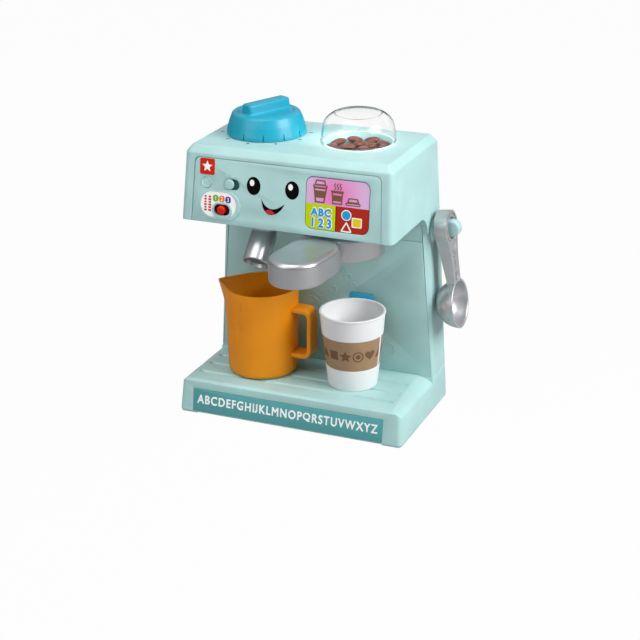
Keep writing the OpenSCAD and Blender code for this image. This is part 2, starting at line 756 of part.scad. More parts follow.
// A coil spring along Y: a round wire swept round its axis, ring by ring.
module coil(r, wire_r, len, turns) rotate([-90, 0, 0]) {
    rings = turns * coil_steps;
    points = [for (i = [0 : rings], k = [0 : coil_sides - 1])
        let (a = i * 360 / coil_steps, t = k * 360 / coil_sides, q = r + wire_r * cos(t))
            [q * cos(a), q * sin(a), wire_r + (len - 2 * wire_r) * i / rings + wire_r * sin(t)]];
    sides = [for (i = [0 : rings - 1], k = [0 : coil_sides - 1])
        let (n = i * coil_sides, m = (k + 1) % coil_sides)
            [n + k, n + m, n + coil_sides + m, n + coil_sides + k]];
    polyhedron(points, concat(sides, [
        [for (k = [coil_sides - 1 : -1 : 0]) k],
        [for (k = [0 : coil_sides - 1]) rings * coil_sides + k]]));
}

button_spring_y = wall + button_gap + button_flange[1] + snug_gap;
switch_body_y = wall + seam_gap + carrier_t + 2 * button_gap;

module round_button_spring() color("silver") on_panel(button_x, button_z)
    translate([0, button_spring_y, 0])
        coil(button_spring_r, button_wire_r, board_y - snug_gap - button_spring_y, 5);

// The switches stand on the board, just behind the button and the two carriers.
module switch_bodies() color([0.15, 0.15, 0.16]) {
    on_panel(button_x, button_z) translate([0, board_y - switch_can_l, 0]) rod_y(plunger_r + 0.2, switch_can_l);
    for (s = [[slot_x, slot_z, 16], [switch_pocket_x, button_z, 14]])
        on_panel(s[0], s[1]) translate([0, switch_body_y, 0])
            round_plate(s[2], switch_body_h, stem_gap, board_y - switch_body_y);
}

module main_board() color([0.10, 0.42, 0.25]) on_panel(0, board_z) difference() {
    translate([0, board_y, 0]) round_plate(board_w, board_h, 2, board_t);
    for (x = [-1, 1], z = [-1, 1])
        translate([x * board_post_x, board_y - over, z * board_post_z]) rod_y(screw_r, 3 * over + board_t);
}

led_pitch = 18;
led_r = 2.5;
led_l = 6.3;

module display_leds() color([1, 0.97, 0.85])
    for (k = [-1 : 1])
        on_panel(screen_x + k * led_pitch, screen_z) {
            translate([0, board_y - led_l, 0]) rod_y(led_r, led_l);
            translate([0, board_y - over, 0]) rod_y(led_r + 0.4, over);
        }

board_screw_t = 1.3;
board_screw_l = 6;
post_screw_l = 4;

module board_screws() color("silver") {
    for (x = [-1, 1], z = [-1, 1])
        on_panel(x * board_post_x, board_z + z * board_post_z) {
            translate([0, board_y + board_t, 0]) rod_y(screw_head_r - 0.4, board_screw_t);
            translate([0, board_y - post_screw_l, 0])
                rod_y(screw_r - 0.4 - run_gap / 2, post_screw_l + board_t + board_screw_t / 2);
        }
    for (side = [-1, 1])
        translate([cup_button_x + side * button_post_x, button_board_y + board_t, tray_h + cup_button_z]) {
            rod_y(screw_head_r, board_screw_t);
            translate([0, -board_screw_l, 0]) rod_y(screw_r - run_gap, board_screw_l + board_screw_t / 2);
        }
}

// ---------------------------------------------------------------- dial and belt

pulley_t = 7;
pulley_z = deck_z - wall - shaft_boss_l - 0.5 - pulley_t;
belt_t = 1.4;
belt_h = 4;
dial_lift = 0.5;
dial_wall = 2.2;
shaft_hole_l = 12;
pulley_screw_l = 9;
washer_over = 1.5;   // of a pulley screw's head beyond its shaft

module dial() color(cyan) translate([-dial_x, deck_item_y, deck_z]) {
    difference() {
        rotate_extrude($fn = 96) polygon(concat(
            [[0, dial_lift + 2], [dial_r - dial_wall - 0.8, dial_lift], [dial_r, dial_lift],
             [dial_r, dial_lift + 2.4], [dial_rim_r + 5, dial_rim_h - 7]],
            arc(dial_rim_r, dial_rim_h - 5, 5, 10, 90, 6),
            [[dial_rim_r - 2.5, dial_rim_h - 3.6], [0, dial_rim_h - 3.6]]));
        // hollow of the cap, round the shaft's hub
        rotate_extrude($fn = 96) polygon([
            [shaft_r + 4, -over], [dial_r - dial_wall, -over], [dial_r - dial_wall, dial_lift + 1.6],
            [dial_rim_r + 2.6, dial_rim_h - 7], [dial_rim_r - 1, dial_rim_h - 3.6 - dial_wall],
            [shaft_r + 4, dial_rim_h - 3.6 - dial_wall]]);
        for (k = [0 : 11])
            rotate([0, 0, grip_angle + 15 + k * 30])
                translate([dial_r - 1.2, -0.5, dial_lift - over]) cube([2 * over, 1, over + 4.6]);
    }
    // grip bar
    rotate([0, 0, grip_angle]) intersection() {
        translate([0, 0, dial_rim_h - 4]) linear_extrude(4 + grip_h) round_rect(grip_l, grip_w, 3);
        along_x(grip_l + 2) polygon([
            [-grip_w / 2, 0], [grip_w / 2, 0], [grip_w / 2, dial_rim_h + grip_h - 3],
            [grip_w / 2 - 3, dial_rim_h + grip_h], [-grip_w / 2 + 3, dial_rim_h + grip_h],
            [-grip_w / 2, dial_rim_h + grip_h - 3]]);
    }
    // shaft
    translate([0, 0, pulley_z - deck_z]) difference() {
        cylinder(r = shaft_r, h = deck_z - pulley_z + dial_lift + 3);
        translate([0, 0, -over]) cylinder(r = screw_r, h = shaft_hole_l);
    }
}

// A belt pulley with a groove; its bore fits the shaft.
module pulley(groove_r, bore_r) rotate_extrude() polygon([
    [bore_r, 0], [groove_r + 2, 0], [groove_r + 2, 1.2], [groove_r, 1.2], [groove_r, pulley_t - 1.2],
    [groove_r + 2, pulley_t - 1.2], [groove_r + 2, pulley_t], [bore_r, pulley_t]]);

module dial_pulley() color("white")
    translate([-dial_x, deck_item_y, pulley_z]) pulley(dial_pulley_r, shaft_r + 0.02);

module table_pulley() color("white")
    translate([dome_x, deck_item_y, pulley_z]) pulley(table_pulley_r, table_shaft_r + 0.02);

belt_span = dial_x + dome_x;

// The belt's outline, a loop round both pulleys at a distance from their grooves.
module belt_outline(grow) {
    lean = asin((table_pulley_r - dial_pulley_r) / belt_span);
    side = 90 + lean;
    polygon(concat(
        arc(0, 0, dial_pulley_r + grow, side, 360 - side, 16),
        arc(belt_span, 0, table_pulley_r + grow, -side, side, 24)));
}

module drive_belt() color([0.12, 0.12, 0.12])
    translate([-dial_x, deck_item_y, pulley_z + (pulley_t - belt_h) / 2]) linear_extrude(belt_h) difference() {
        belt_outline(seam_gap + belt_t);
        belt_outline(seam_gap);
    }

// A screw with a wide washer head that holds a pulley on its shaft, from below.
module pulley_screw(x, head_r) translate([x, deck_item_y, pulley_z]) {
    translate([0, 0, -screw_head_t - 0.05]) cylinder(r = head_r, h = screw_head_t);
    translate([0, 0, -0.5]) cylinder(r = screw_r - run_gap, h = pulley_screw_l);
}

module dial_screw() color("silver") pulley_screw(-dial_x, shaft_r + washer_over);

module table_screw() color("silver") pulley_screw(dome_x, table_shaft_r + washer_over);

// ---------------------------------------------------------------- bean well and dome

well_wall = 2;
well_rim_t = 0.4;
table_shaft_r = 4;
table_t = 1.6;
table_lift = 0.3;
well_floor_z = deck_z - well_depth;

module bean_well() color(aqua) translate([dome_x, deck_item_y, 0]) difference() {
    union() {
        translate([0, 0, well_floor_z - well_wall]) cylinder(r = well_r + well_wall, h = well_depth + well_wall);
        translate([0, 0, deck_z]) cylinder(r = well_r + well_wall + 1, h = well_rim_t);
    }
    translate([0, 0, well_floor_z]) cylinder(r = well_r, h = well_depth + over);
    translate([0, 0, well_floor_z - 2 * well_wall]) cylinder(r = table_shaft_r + run_gap, h = 3 * well_wall);
}

module bean_table() color([0.72, 0.73, 0.76]) translate([dome_x, deck_item_y, 0]) {
    translate([0, 0, well_floor_z + table_lift]) cylinder(r = well_r - 0.6, h = table_t);
    difference() {
        translate([0, 0, pulley_z]) cylinder(r = table_shaft_r, h = well_floor_z + table_lift + 0.5 - pulley_z);
        translate([0, 0, pulley_z - over]) cylinder(r = screw_r, h = shaft_hole_l);
    }
}

bean_len = 15;
bean_wide = 10;
bean_high = 6;
bean_ring = 20;
bean_count = 5;
bean_z = well_floor_z + table_lift + table_t;
bean_arc_r = (pow(bean_len, 2) + pow(bean_wide, 2)) / (4 * bean_wide);
bean_top_r = (pow(bean_len / 2, 2) + pow(bean_high, 2)) / (2 * bean_high) + 1;

module bean_flank(side) translate([0, side * (bean_arc_r - bean_wide / 2), 0])
    cylinder(r = bean_arc_r, h = bean_high + over);

// One bean: pointed at both ends, domed on top and cut by a crease.
module bean() difference() {
    intersection() {
        translate([0, 0, bean_high - bean_top_r]) sphere(r = bean_top_r);
        bean_flank(-1);
        bean_flank(1);
    }
    translate([-bean_len, -0.5, bean_high - 1]) cube([2 * bean_len, 1, 2]);
}

module coffee_beans() color([0.35, 0.18, 0.12]) translate([dome_x, deck_item_y, bean_z]) {
    for (k = [0 : bean_count - 1])
        rotate([0, 0, 200 + k * 360 / bean_count])
            translate([bean_ring, 0, 0]) rotate([0, 0, 75 + 30 * (k % 2)]) bean();
    translate([2, 3, 0]) rotate([0, 0, 20]) bean();
}

module dome() color([0.85, 0.92, 0.95, 0.4]) translate([dome_x, deck_item_y, deck_z + well_rim_t + 0.05])
    difference() {
        rotate_extrude($fn = 96) dome_outline(0);
        rotate_extrude($fn = 96) dome_outline(dome_wall);
    }

// Half outline of the dome, moved inwards by a wall.
module dome_outline(inset) {
    top = dome_h - well_rim_t - 0.05 - inset;
    r = dome_r - 1 - inset;
    polygon(concat(
        inset > 0 ? [[0, -over], [r, -over]] : [[0, 0], [dome_r, 0], [dome_r, 1.2], [r, 1.8]],
        [[r, 0.34 * top]],
        [for (a = [15 : 15 : 75]) [r * pow(cos(a), 0.72), top * (0.34 + 0.66 * pow(sin(a), 0.9))]],
        [[0, top]]));
}

// ---------------------------------------------------------------- spout and portafilter

spout_pivot_r = 6;
elbow_drop = 15;
elbow_z = head_z - elbow_drop;
arm_top = head_z - 0.5;

module at_nozzle() translate([spout_x, spout_y, elbow_z]) rotate([180 - nozzle_tilt, 0, 0]) children();

module spout_arm() color(silver) {
    translate([spout_x, spout_y, elbow_z]) {
        cylinder(r = spout_r, h = arm_top - elbow_z);
        sphere(r = spout_r);
        cylinder(r = spout_pivot_r, h = head_z + wall + 3 - elbow_z);
    }
    at_nozzle() cylinder(r = spout_r - 3, h = 9);
}

module spout_nozzle() color(silver) at_nozzle() difference() {
    translate([0, 0, spout_r - 5]) {
        cylinder(r1 = spout_r + 0.2, r2 = spout_r + 1.5, h = 8);
        translate([0, 0, 8]) cylinder(r = spout_r + 1.5, h = nozzle_l - spout_r - 3);
    }
    sphere(r = spout_r + 0.05);
    cylinder(r = spout_r - 2.95, h = 9.1);
    translate([0, 0, nozzle_l - 16]) cylinder(r = spout_r - 1.2, h = 20);
}

module spout_retainer() color("silver") translate([spout_x, spout_y, head_z + wall + 0.1]) difference() {
    cylinder(r = spout_pivot_r + 4, h = 2);
    translate([0, 0, -over]) cylinder(r = spout_pivot_r + 0.02, h = 4);
}

pivot_r = 8;
drum_wall = 4;
drum_edge = 4;
drum_cup_h = 9;      // depth of the hollow under the drum
drum_y = column_y - drum_gap - drum_r;
drum_top = head_z - 0.5;
drum_low = drum_top - drum_h;
paddle_tip = paddle_l - paddle_r;
paddle_root = drum_r + paddle_r - 3;
paddle_edge = 5;

// The handle's rounded half outline: radius against height.
module paddle_profile() polygon(concat(
    [[0, 0], [paddle_r - 1, 0], [paddle_r, 1]],
    arc(paddle_r - paddle_edge, paddle_h - paddle_edge, paddle_edge, 0, 90, 8),
    [[0, paddle_h]]));

module portafilter() color(silver) translate([drum_x, drum_y, drum_low]) {
    rotate_extrude($fn = 96) polygon([
        [0, drum_cup_h], [drum_r - drum_wall, drum_cup_h], [drum_r - drum_wall, 0], [drum_r, 0],
        [drum_r, drum_h - drum_edge], [drum_r - 2 * drum_edge, drum_h], [0, drum_h]]);
    translate([0, 0, drum_h - over]) cylinder(r = pivot_r, h = head_z + wall + 3 - drum_top + over);
    rotate([0, 0, -paddle_angle]) difference() {
        union() {
            for (d = [paddle_root, paddle_tip])
                translate([0, -d, 0]) rotate_extrude($fn = 96) paddle_profile();
            translate([0, -(paddle_root + paddle_tip) / 2, 0])
                for (s = [0, 180]) rotate([0, 0, s]) along_y(paddle_tip - paddle_root) paddle_profile();
        }
        translate([0, 0, -over]) cylinder(r = drum_r - 2, h = drum_h + 2 * over, $fn = 96);
    }
}

module portafilter_retainer() color("silver") translate([drum_x, drum_y, head_z + wall + 0.1]) difference() {
    cylinder(r = pivot_r + 5, h = 2);
    translate([0, 0, -over]) cylinder(r = pivot_r + 0.02, h = 4);
}

// ---------------------------------------------------------------- cup button and speaker

button_sleeve_l = 6;
button_flange_y = wall / 2 + button_sleeve_l + seam_gap;
button_depth = button_flange_y + 1.2;
button_board_y = column_y + button_depth + cup_button_travel + 2.5;
button_post_x = cup_button_w / 2 + wall + boss_r + 2;

module cup_button_window(extra) translate([cup_button_x, column_y - extra, tray_h + cup_button_z])
    round_plate(cup_button_w + 2 * slide_gap, cup_button_h + 2 * slide_gap, 3, column_d);

cup_button_r = 2.8;
cup_button_out = 0.4;
cup_button_rim = 1.5;
button_face_t = 2;

module cup_button() color([0.18, 0.68, 0.86])
    translate([cup_button_x, column_y, tray_h + cup_button_z]) difference() {
        union() {
            translate([0, -cup_button_out, 0])
                round_plate(cup_button_w, cup_button_h, cup_button_r, button_depth + cup_button_out);
            translate([0, button_flange_y, 0])
                round_plate(cup_button_w + 2 * cup_button_rim, cup_button_h + 2 * cup_button_rim, cup_button_r,
                            button_depth - button_flange_y);
        }
        translate([0, button_face_t, 0])
            round_plate(cup_button_w - 2 * button_face_t, cup_button_h - 2 * button_face_t, 1.6, button_depth);
    }

cup_spring_y = column_y + button_face_t + snug_gap;
cup_spring_r = 7;
cup_wire_r = 0.5;
button_board_h = 22;

module cup_button_spring() color("silver") translate([cup_button_x, cup_spring_y, tray_h + cup_button_z])
    coil(cup_spring_r, cup_wire_r, button_board_y - snug_gap - cup_spring_y, 6);

module button_board() color([0.10, 0.42, 0.25]) difference() {
    translate([cup_button_x, button_board_y, tray_h + cup_button_z])
        round_plate(2 * button_post_x + 2 * boss_r, button_board_h, 2, board_t);
    for (side = [-1, 1])
        translate([cup_button_x + side * button_post_x, button_board_y - over, tray_h + cup_button_z])
            rod_y(screw_r + 0.2, 3 * over + board_t);
}

speaker_r = 20;
speaker_up = 18;     // of its centre over the head's underside
speaker_z = head_z + speaker_up;

speaker_rim_t = 2.5;
speaker_cone_h = 6;
magnet_r = 9;
magnet_h = 4;

module speaker() color([0.20, 0.20, 0.21])
    translate([0, back_at(speaker_z) - wall - seam_gap, speaker_z]) rotate([90, 0, 0]) {
        cylinder(r = speaker_r, h = speaker_rim_t);
        translate([0, 0, speaker_rim_t]) cylinder(r1 = speaker_r - 2, r2 = magnet_r, h = speaker_cone_h);
        translate([0, 0, speaker_rim_t + speaker_cone_h]) cylinder(r = magnet_r, h = magnet_h);
    }

// ---------------------------------------------------------------- hook and scoop

module hook() color(aqua) on_side(hook_y, hook_z) {
    rotate([90, 0, 0]) translate([0, 0, -hook_t / 2]) linear_extrude(hook_t) {
        translate([-hook_root, -hook_h / 2]) square([hook_root + hook_l - hook_h / 2, hook_h]);
        translate([hook_l - hook_h / 2, 0]) circle(hook_h / 2);
    }
    translate([-wall - seam_gap - hook_flange_t, -hook_t / 2 - hook_flange_rim, -hook_h / 2 - hook_flange_rim])
        cube([hook_flange_t, hook_t + 2 * hook_flange_rim, hook_h + 2 * hook_flange_rim]);
}

bowl_wall = 2;
bowl_gap = 0.4;
scoop_tilt = asin((bowl_r + bowl_gap - scoop_gap - scoop_t) / scoop_l);

// Places its children in the scoop's frame: local X is the outer face's normal, Z = 0 the loop's centre.
// The scoop tilts outwards until its bowl just clears the side wall.
module on_scoop() on_side(hook_y, hook_z)
    translate([scoop_gap + scoop_t, 0, 0]) rotate([0, -scoop_tilt, 0]) children();

neck_in = 2.5;       // where the handle leaves the loop: from its edge and below its centre
neck_top = 5;
neck_end = 26;
waist = 0.6;         // by which the handle narrows on each side
waist_up = 12;       // above the bowl's centre

module scoop() color(silver) difference() {
    on_scoop() difference() {
        union() {
            rotate([0, -90, 0]) cylinder(r = loop_r, h = scoop_t);
            // tapered handle
            rotate([90, 0, -90]) linear_extrude(scoop_t) polygon([
                [-loop_r + neck_in, -neck_top], [loop_r - neck_in, -neck_top],
                [scoop_w / 2, -neck_end], [scoop_w / 2 - waist, -scoop_l + waist_up],
                [-scoop_w / 2 + waist, -scoop_l + waist_up], [-scoop_w / 2, -neck_end]]);
            translate([0, 0, -scoop_l]) intersection() {
                sphere(r = bowl_r, $fn = 96);
                translate([-2 * bowl_r, -bowl_r, -bowl_r]) cube([2 * bowl_r, 2 * bowl_r, 2 * bowl_r]);
            }
        }
        translate([0, 0, -scoop_l]) sphere(r = bowl_r - bowl_wall, $fn = 96);
    }
    on_side(hook_y, hook_z) rotate([0, 90, 0]) cylinder(r = loop_hole_r, h = hook_l + 2 * scoop_t);
}

// ---------------------------------------------------------------- jug and cup

jug_y = column_y - jug_gap - jug_rim_r;
jug_z = tray_h + stand_gap;
jug_floor = 2.4;
lip_r = 12;
lip_drop = 30;
handle_down = 16.5;  // from the jug's rim to the top of its handle

module jug() color([0.90, 0.55, 0.12]) translate([jug_x, jug_y, jug_z]) {
    difference() {
        union() {
            rotate_extrude($fn = 96) polygon(concat(
                [[0, 0]], arc(jug_foot_r - jug_foot_round, jug_foot_round, jug_foot_round, -90, 0, 8),
                [[jug_rim_r, jug_h], [0, jug_h]]));
            translate([-lip_reach + lip_r, 0, jug_h - lip_drop]) cylinder(r1 = 1, r2 = lip_r, h = lip_drop);
        }
        rotate_extrude($fn = 96) polygon(concat(
            [[0, jug_floor]], arc(jug_foot_r - jug_foot_round, jug_floor + jug_foot_round - jug_wall,
                                  jug_foot_round - jug_wall, -90, 0, 8),
            [[jug_rim_r - jug_wall, jug_h], [jug_rim_r - jug_wall, jug_h + over], [0, jug_h + over]]));
        translate([-lip_reach + lip_r, 0, jug_h - lip_drop + 4])
            cylinder(r1 = 0.6, r2 = lip_r - jug_wall + 0.1, h = lip_drop);
    }
    // strap handle
    difference() {
        translate([jug_handle_reach / 2, 0, jug_h - handle_down - jug_handle_h / 2])
            round_plate_y(jug_handle_reach, jug_handle_h, 7, jug_handle_w);
        translate([jug_handle_reach / 2 - jug_handle_t, 0, jug_h - handle_down - jug_handle_h / 2])
            round_plate_y(jug_handle_reach, jug_handle_h - 2 * jug_handle_t, 4, jug_handle_w + 2);
        translate([0, 0, jug_floor]) cylinder(r1 = jug_foot_r - 1, r2 = jug_rim_r - 1, h = jug_h, $fn = 96);
    }
}

// A round rectangle seen from the front, extruded both ways from the middle.
module round_plate_y(w, h, r, t) translate([0, -t / 2, 0]) round_plate(w, h, r, t);

function cup_r(z) = cup_foot_r + (cup_rim_r - cup_foot_r) * z / cup_h;

cup_y = column_y - cup_gap - cup_rim_r;
cup_z = tray_h + stand_gap;
cup_floor = 2.4;

cup_bead = 0.5;
cup_foot_edge = 0.8;
sleeve_seat = sleeve_t + 0.1;

module cup() color([0.93, 0.93, 0.92]) translate([cup_x, cup_y, cup_z]) rotate_extrude($fn = 96) polygon([
    [0, 0], [cup_foot_r - cup_foot_edge, 0], [cup_foot_r, cup_foot_edge], [cup_r(sleeve_low), sleeve_low],
    [cup_r(sleeve_low) - sleeve_seat, sleeve_low], [cup_r(sleeve_high) - sleeve_seat, sleeve_high],
    [cup_r(sleeve_high), sleeve_high], [cup_rim_r, cup_h - 2], [cup_rim_r + cup_bead, cup_h - 1],
    [cup_rim_r, cup_h], [cup_rim_r - cup_wall, cup_h], [cup_foot_r - cup_wall - sleeve_seat, cup_floor],
    [0, cup_floor]]);

module cup_sleeve() color([0.60, 0.47, 0.35]) translate([cup_x, cup_y, cup_z]) rotate_extrude($fn = 96) polygon([
    [cup_r(sleeve_low) - sleeve_t, sleeve_low + snug_gap], [cup_r(sleeve_low) - snug_gap, sleeve_low + snug_gap],
    [cup_r(sleeve_high) - snug_gap, sleeve_high - snug_gap],
    [cup_r(sleeve_high) - sleeve_t, sleeve_high - snug_gap]]);

// ---------------------------------------------------------------- assembly

body_shell();
front_panel();
head_underside();
column_front();
rear_cover();
base_shell();
base_plate();
rubber_feet();
housing_screws();
letter_strip();
corner_tag();
screen_lens();
main_board();
display_leds();
switch_bodies();
stage_label();
stage_slider();
power_switch();
round_button();
round_button_spring();
dial();
dial_pulley();
drive_belt();
table_pulley();
dial_screw();
table_screw();
bean_well();
bean_table();
coffee_beans();
dome();
spout_arm();
spout_nozzle();
spout_retainer();
portafilter();
portafilter_retainer();
cup_button();
cup_button_spring();
button_board();
board_screws();
speaker();
battery_box();
batteries();
battery_contacts();
battery_door();
battery_door_screw();
hook();
scoop();
jug();
cup();
cup_sleeve();
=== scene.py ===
"""Dresses the toy coffee maker: its finished pieces, its jug, cup and scoop, and a studio round them."""
import logging
import math
from collections.abc import Callable, Sequence
from dataclasses import dataclass
from enum import Enum

import bmesh
import bpy
from mathutils import Matrix, Vector


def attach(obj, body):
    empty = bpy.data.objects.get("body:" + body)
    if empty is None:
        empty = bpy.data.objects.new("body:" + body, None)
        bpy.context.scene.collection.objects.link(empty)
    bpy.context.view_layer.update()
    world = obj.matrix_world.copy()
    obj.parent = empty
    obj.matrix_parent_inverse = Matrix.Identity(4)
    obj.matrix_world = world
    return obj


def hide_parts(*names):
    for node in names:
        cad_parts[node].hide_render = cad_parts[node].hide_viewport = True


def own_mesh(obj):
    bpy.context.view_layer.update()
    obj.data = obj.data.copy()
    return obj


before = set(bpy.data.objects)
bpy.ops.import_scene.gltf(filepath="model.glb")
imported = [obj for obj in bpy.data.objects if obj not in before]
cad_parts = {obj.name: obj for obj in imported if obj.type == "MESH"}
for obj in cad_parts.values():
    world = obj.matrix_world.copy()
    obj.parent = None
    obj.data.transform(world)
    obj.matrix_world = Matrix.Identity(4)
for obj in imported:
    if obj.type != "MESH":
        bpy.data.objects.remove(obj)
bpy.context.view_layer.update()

LOG = logging.getLogger("toy_coffee_maker")
MM = 0.001
TURN = 2 * math.pi
Point2 = tuple[float, float]
Point3 = tuple[float, float, float]
Loop = Sequence[Point2]
Place = Callable[[float, float, float], Point3]
Shape = bmesh.types.BMesh


# ---------------------------------------------------------------- finishes


def linear(code: str) -> tuple[float, float, float, float]:
    """Turns a written colour into the renderer's linear one.

    Args:
        code: Six hexadecimal digits, red, green, blue.

    Returns:
        Linear red, green, blue and a full alpha.
    """
    parts = [int(code[k:k + 2], 16) / 255 for k in (0, 2, 4)]
    done = [c / 12.92 if c <= 0.04045 else ((c + 0.055) / 1.055) ** 2.4 for c in parts]
    return done[0], done[1], done[2], 1.0


class Nodes:
    """A shorthand for building one node tree."""

    def __init__(self, owner: bpy.types.ID) -> None:
        """Takes the tree of a node group, or empties that of a material or a world.

        Args:
            owner: The node group, the material or the world.
        """
        self.tree = owner
        if not isinstance(owner, bpy.types.NodeTree):
            owner.use_nodes = True
            self.tree = owner.node_tree
            self.tree.nodes.clear()

    def add(self, kind: str, inputs: dict[str | int, object] | None = None,
            **values: object) -> bpy.types.Node:
        """Adds a node.

        Args:
            kind: The node's identifier.
            inputs: Its inputs. A socket, or a node's first output, is joined; anything else is the value.
            **values: Its properties.

        Returns:
            The new node.
        """
        node = self.tree.nodes.new(kind)
        for key, value in values.items():
            setattr(node, key, value)
        for key, value in (inputs or {}).items():
            if isinstance(value, bpy.types.Node):
                value = value.outputs[0]
            if isinstance(value, bpy.types.NodeSocket):
                self.tree.links.new(value, node.inputs[key])
            else:
                node.inputs[key].default_value = value
        return node

    def ramp(self, share: bpy.types.NodeSocket, *stops: tuple[float, Sequence[float]],
             ease: str = "LINEAR") -> bpy.types.Node:
        """Adds a run between two colours.

        Args:
            share: The socket that says how far along the run a point is.
            *stops: Place and linear colour of both ends.
            ease: How the run is eased.

        Returns:
            The new node.
        """
        node = self.add("ShaderNodeValToRGB", {"Fac": share})
        node.color_ramp.interpolation = ease
        for end, (place, colour) in zip(node.color_ramp.elements, stops):
            end.position, end.color = place, colour
        return node

    def either(self, *names: str) -> bpy.types.Node:
        """Adds a node that is 1 for light rays of either of two kinds.

        Args:
            *names: Both kinds.

        Returns:
            The new node.
        """
        path = self.add("ShaderNodeLightPath")
        kinds = dict(enumerate(path.outputs[name] for name in names))
        return self.add("ShaderNodeMath", kinds, operation="MAXIMUM")


@dataclass(frozen=True)
class Finish:
    """One moulded, painted or printed finish, with its grain, its cloudiness and its gloss."""

    name: str
    colour: str
    roughness: float = 0.4
    grain_mm: float = 0.7
    grain_depth_mm: float = 0.012
    cloud: float = 0.05
    cloud_mm: float = 30.0
    metallic: float = 0.0
    coat: float = 0.0
    specular: float = 0.5
    depth_mm: float = 0.0
    depth_share: float = 0.25
    cloud_band: Point2 = (0.3, 0.7)
    gloss_spread: float = 0.05
    bump: float = 0.35
    coat_roughness: float = 0.12

    def surface(self, nodes: Nodes) -> bpy.types.Node:
        """Builds the surface shader.

        Args:
            nodes: The material's tree.

        Returns:
            The principled shader, with colour, roughness and grain joined to it.
        """
        place = nodes.add("ShaderNodeTexCoord").outputs["Object"]
        cloud, grain = (
            nodes.add("ShaderNodeTexNoise", {"Vector": place, "Scale": 1 / (size * MM), "Detail": detail})
            for size, detail in ((self.cloud_mm, 2.0), (self.grain_mm, 3.0)))
        plain = linear(self.colour)[:3]
        tones = [[min(1.0, c * share) for c in plain] for share in (1 - self.cloud, 1 + self.cloud)]
        ramp = nodes.ramp(cloud.outputs["Fac"], *[(at, (*tone, 1)) for at, tone in zip(self.cloud_band, tones)])
        gloss = nodes.add("ShaderNodeMapRange", {"Value": cloud.outputs["Fac"],
                                                 "To Min": max(0.02, self.roughness - self.gloss_spread),
                                                 "To Max": min(1.0, self.roughness + self.gloss_spread)})
        bump = nodes.add("ShaderNodeBump", {"Height": grain.outputs["Fac"], "Strength": self.bump,
                                            "Distance": self.grain_depth_mm * MM})
        shader = nodes.add("ShaderNodeBsdfPrincipled", {
            "Base Color": ramp, "Roughness": gloss, "Normal": bump, "Metallic": self.metallic,
            "Coat Weight": self.coat, "Coat Roughness": self.coat_roughness,
            "Specular IOR Level": self.specular})
        if self.depth_mm > 0:
            shader.inputs["Subsurface Weight"].default_value = self.depth_share
            shader.inputs["Subsurface Scale"].default_value = self.depth_mm * MM
        return shader

    def finish(self, nodes: Nodes, shader: bpy.types.Node) -> None:
        """Joins the principled shader to the material's output."""
        nodes.add("ShaderNodeOutputMaterial", {"Surface": shader})

    def make(self) -> bpy.types.Material:
        """Makes the material once and returns it from then on.

        Returns:
            The material.
        """
        material = bpy.data.materials.get(self.name)
        if not material:
            material = bpy.data.materials.new(self.name)
            nodes = Nodes(material)
            self.finish(nodes, self.surface(nodes))
        return material


@dataclass(frozen=True)
class PrintFinish(Finish):
    """Matt printing ink."""

    roughness: float = 0.6
    specular: float = 0.12


@dataclass(frozen=True)
class ClearFinish(Finish):
    """Clear moulded plastic that lets the lamps through to what it covers."""

    ior: float = 1.3

    def finish(self, nodes: Nodes, shader: bpy.types.Node) -> None:
        """Makes the shader clear, and open to shadow rays.

        Args:
            nodes: The material's tree.
            shader: The principled shader.
        """
        shader.inputs["Transmission Weight"].default_value = 1.0
        shader.inputs["IOR"].default_value = self.ior
        path = nodes.add("ShaderNodeLightPath")
        mix = nodes.add("ShaderNodeMixShader", {0: path.outputs["Is Shadow Ray"], 1: shader,
                                                2: nodes.add("ShaderNodeBsdfTransparent")})
        Finish.finish(self, nodes, mix)


@dataclass(frozen=True)
class PaintedGlowFinish(PrintFinish):
    """A printed pink film with painted light: it pales away from one point, a painted glow as if a lamp stood
    behind it, and a painted highlight.
    """

    # Paler colour away from the centre: painted glow and highlight.
    rim: str = "DDBBE2"
    centre: Point3 = (47.0, -57.0, 229.0)
    reach_mm: float = 33.0

    def surface(self, nodes: Nodes) -> bpy.types.Node:
        """Builds the printed film with a round run of colour, paler away from its centre: painted glow and
        highlight.

        Args:
            nodes: The material's tree.

        Returns:
            The principled shader.
        """
        shader = Finish.surface(self, nodes)
        place = nodes.add("ShaderNodeMapping", {
            "Vector": nodes.add("ShaderNodeTexCoord").outputs["Object"],
            "Location": [c * MM for c in self.centre],
            "Scale": [self.reach_mm * MM] * 3}, vector_type="TEXTURE")
        run = nodes.add("ShaderNodeTexGradient", {"Vector": place}, gradient_type="SPHERICAL")
        ramp = nodes.ramp(run.outputs["Fac"], (0, linear(self.rim)), (1, linear(self.colour)), ease="EASE")
        nodes.tree.links.new(ramp.outputs[0], shader.inputs["Base Color"])
        return shader


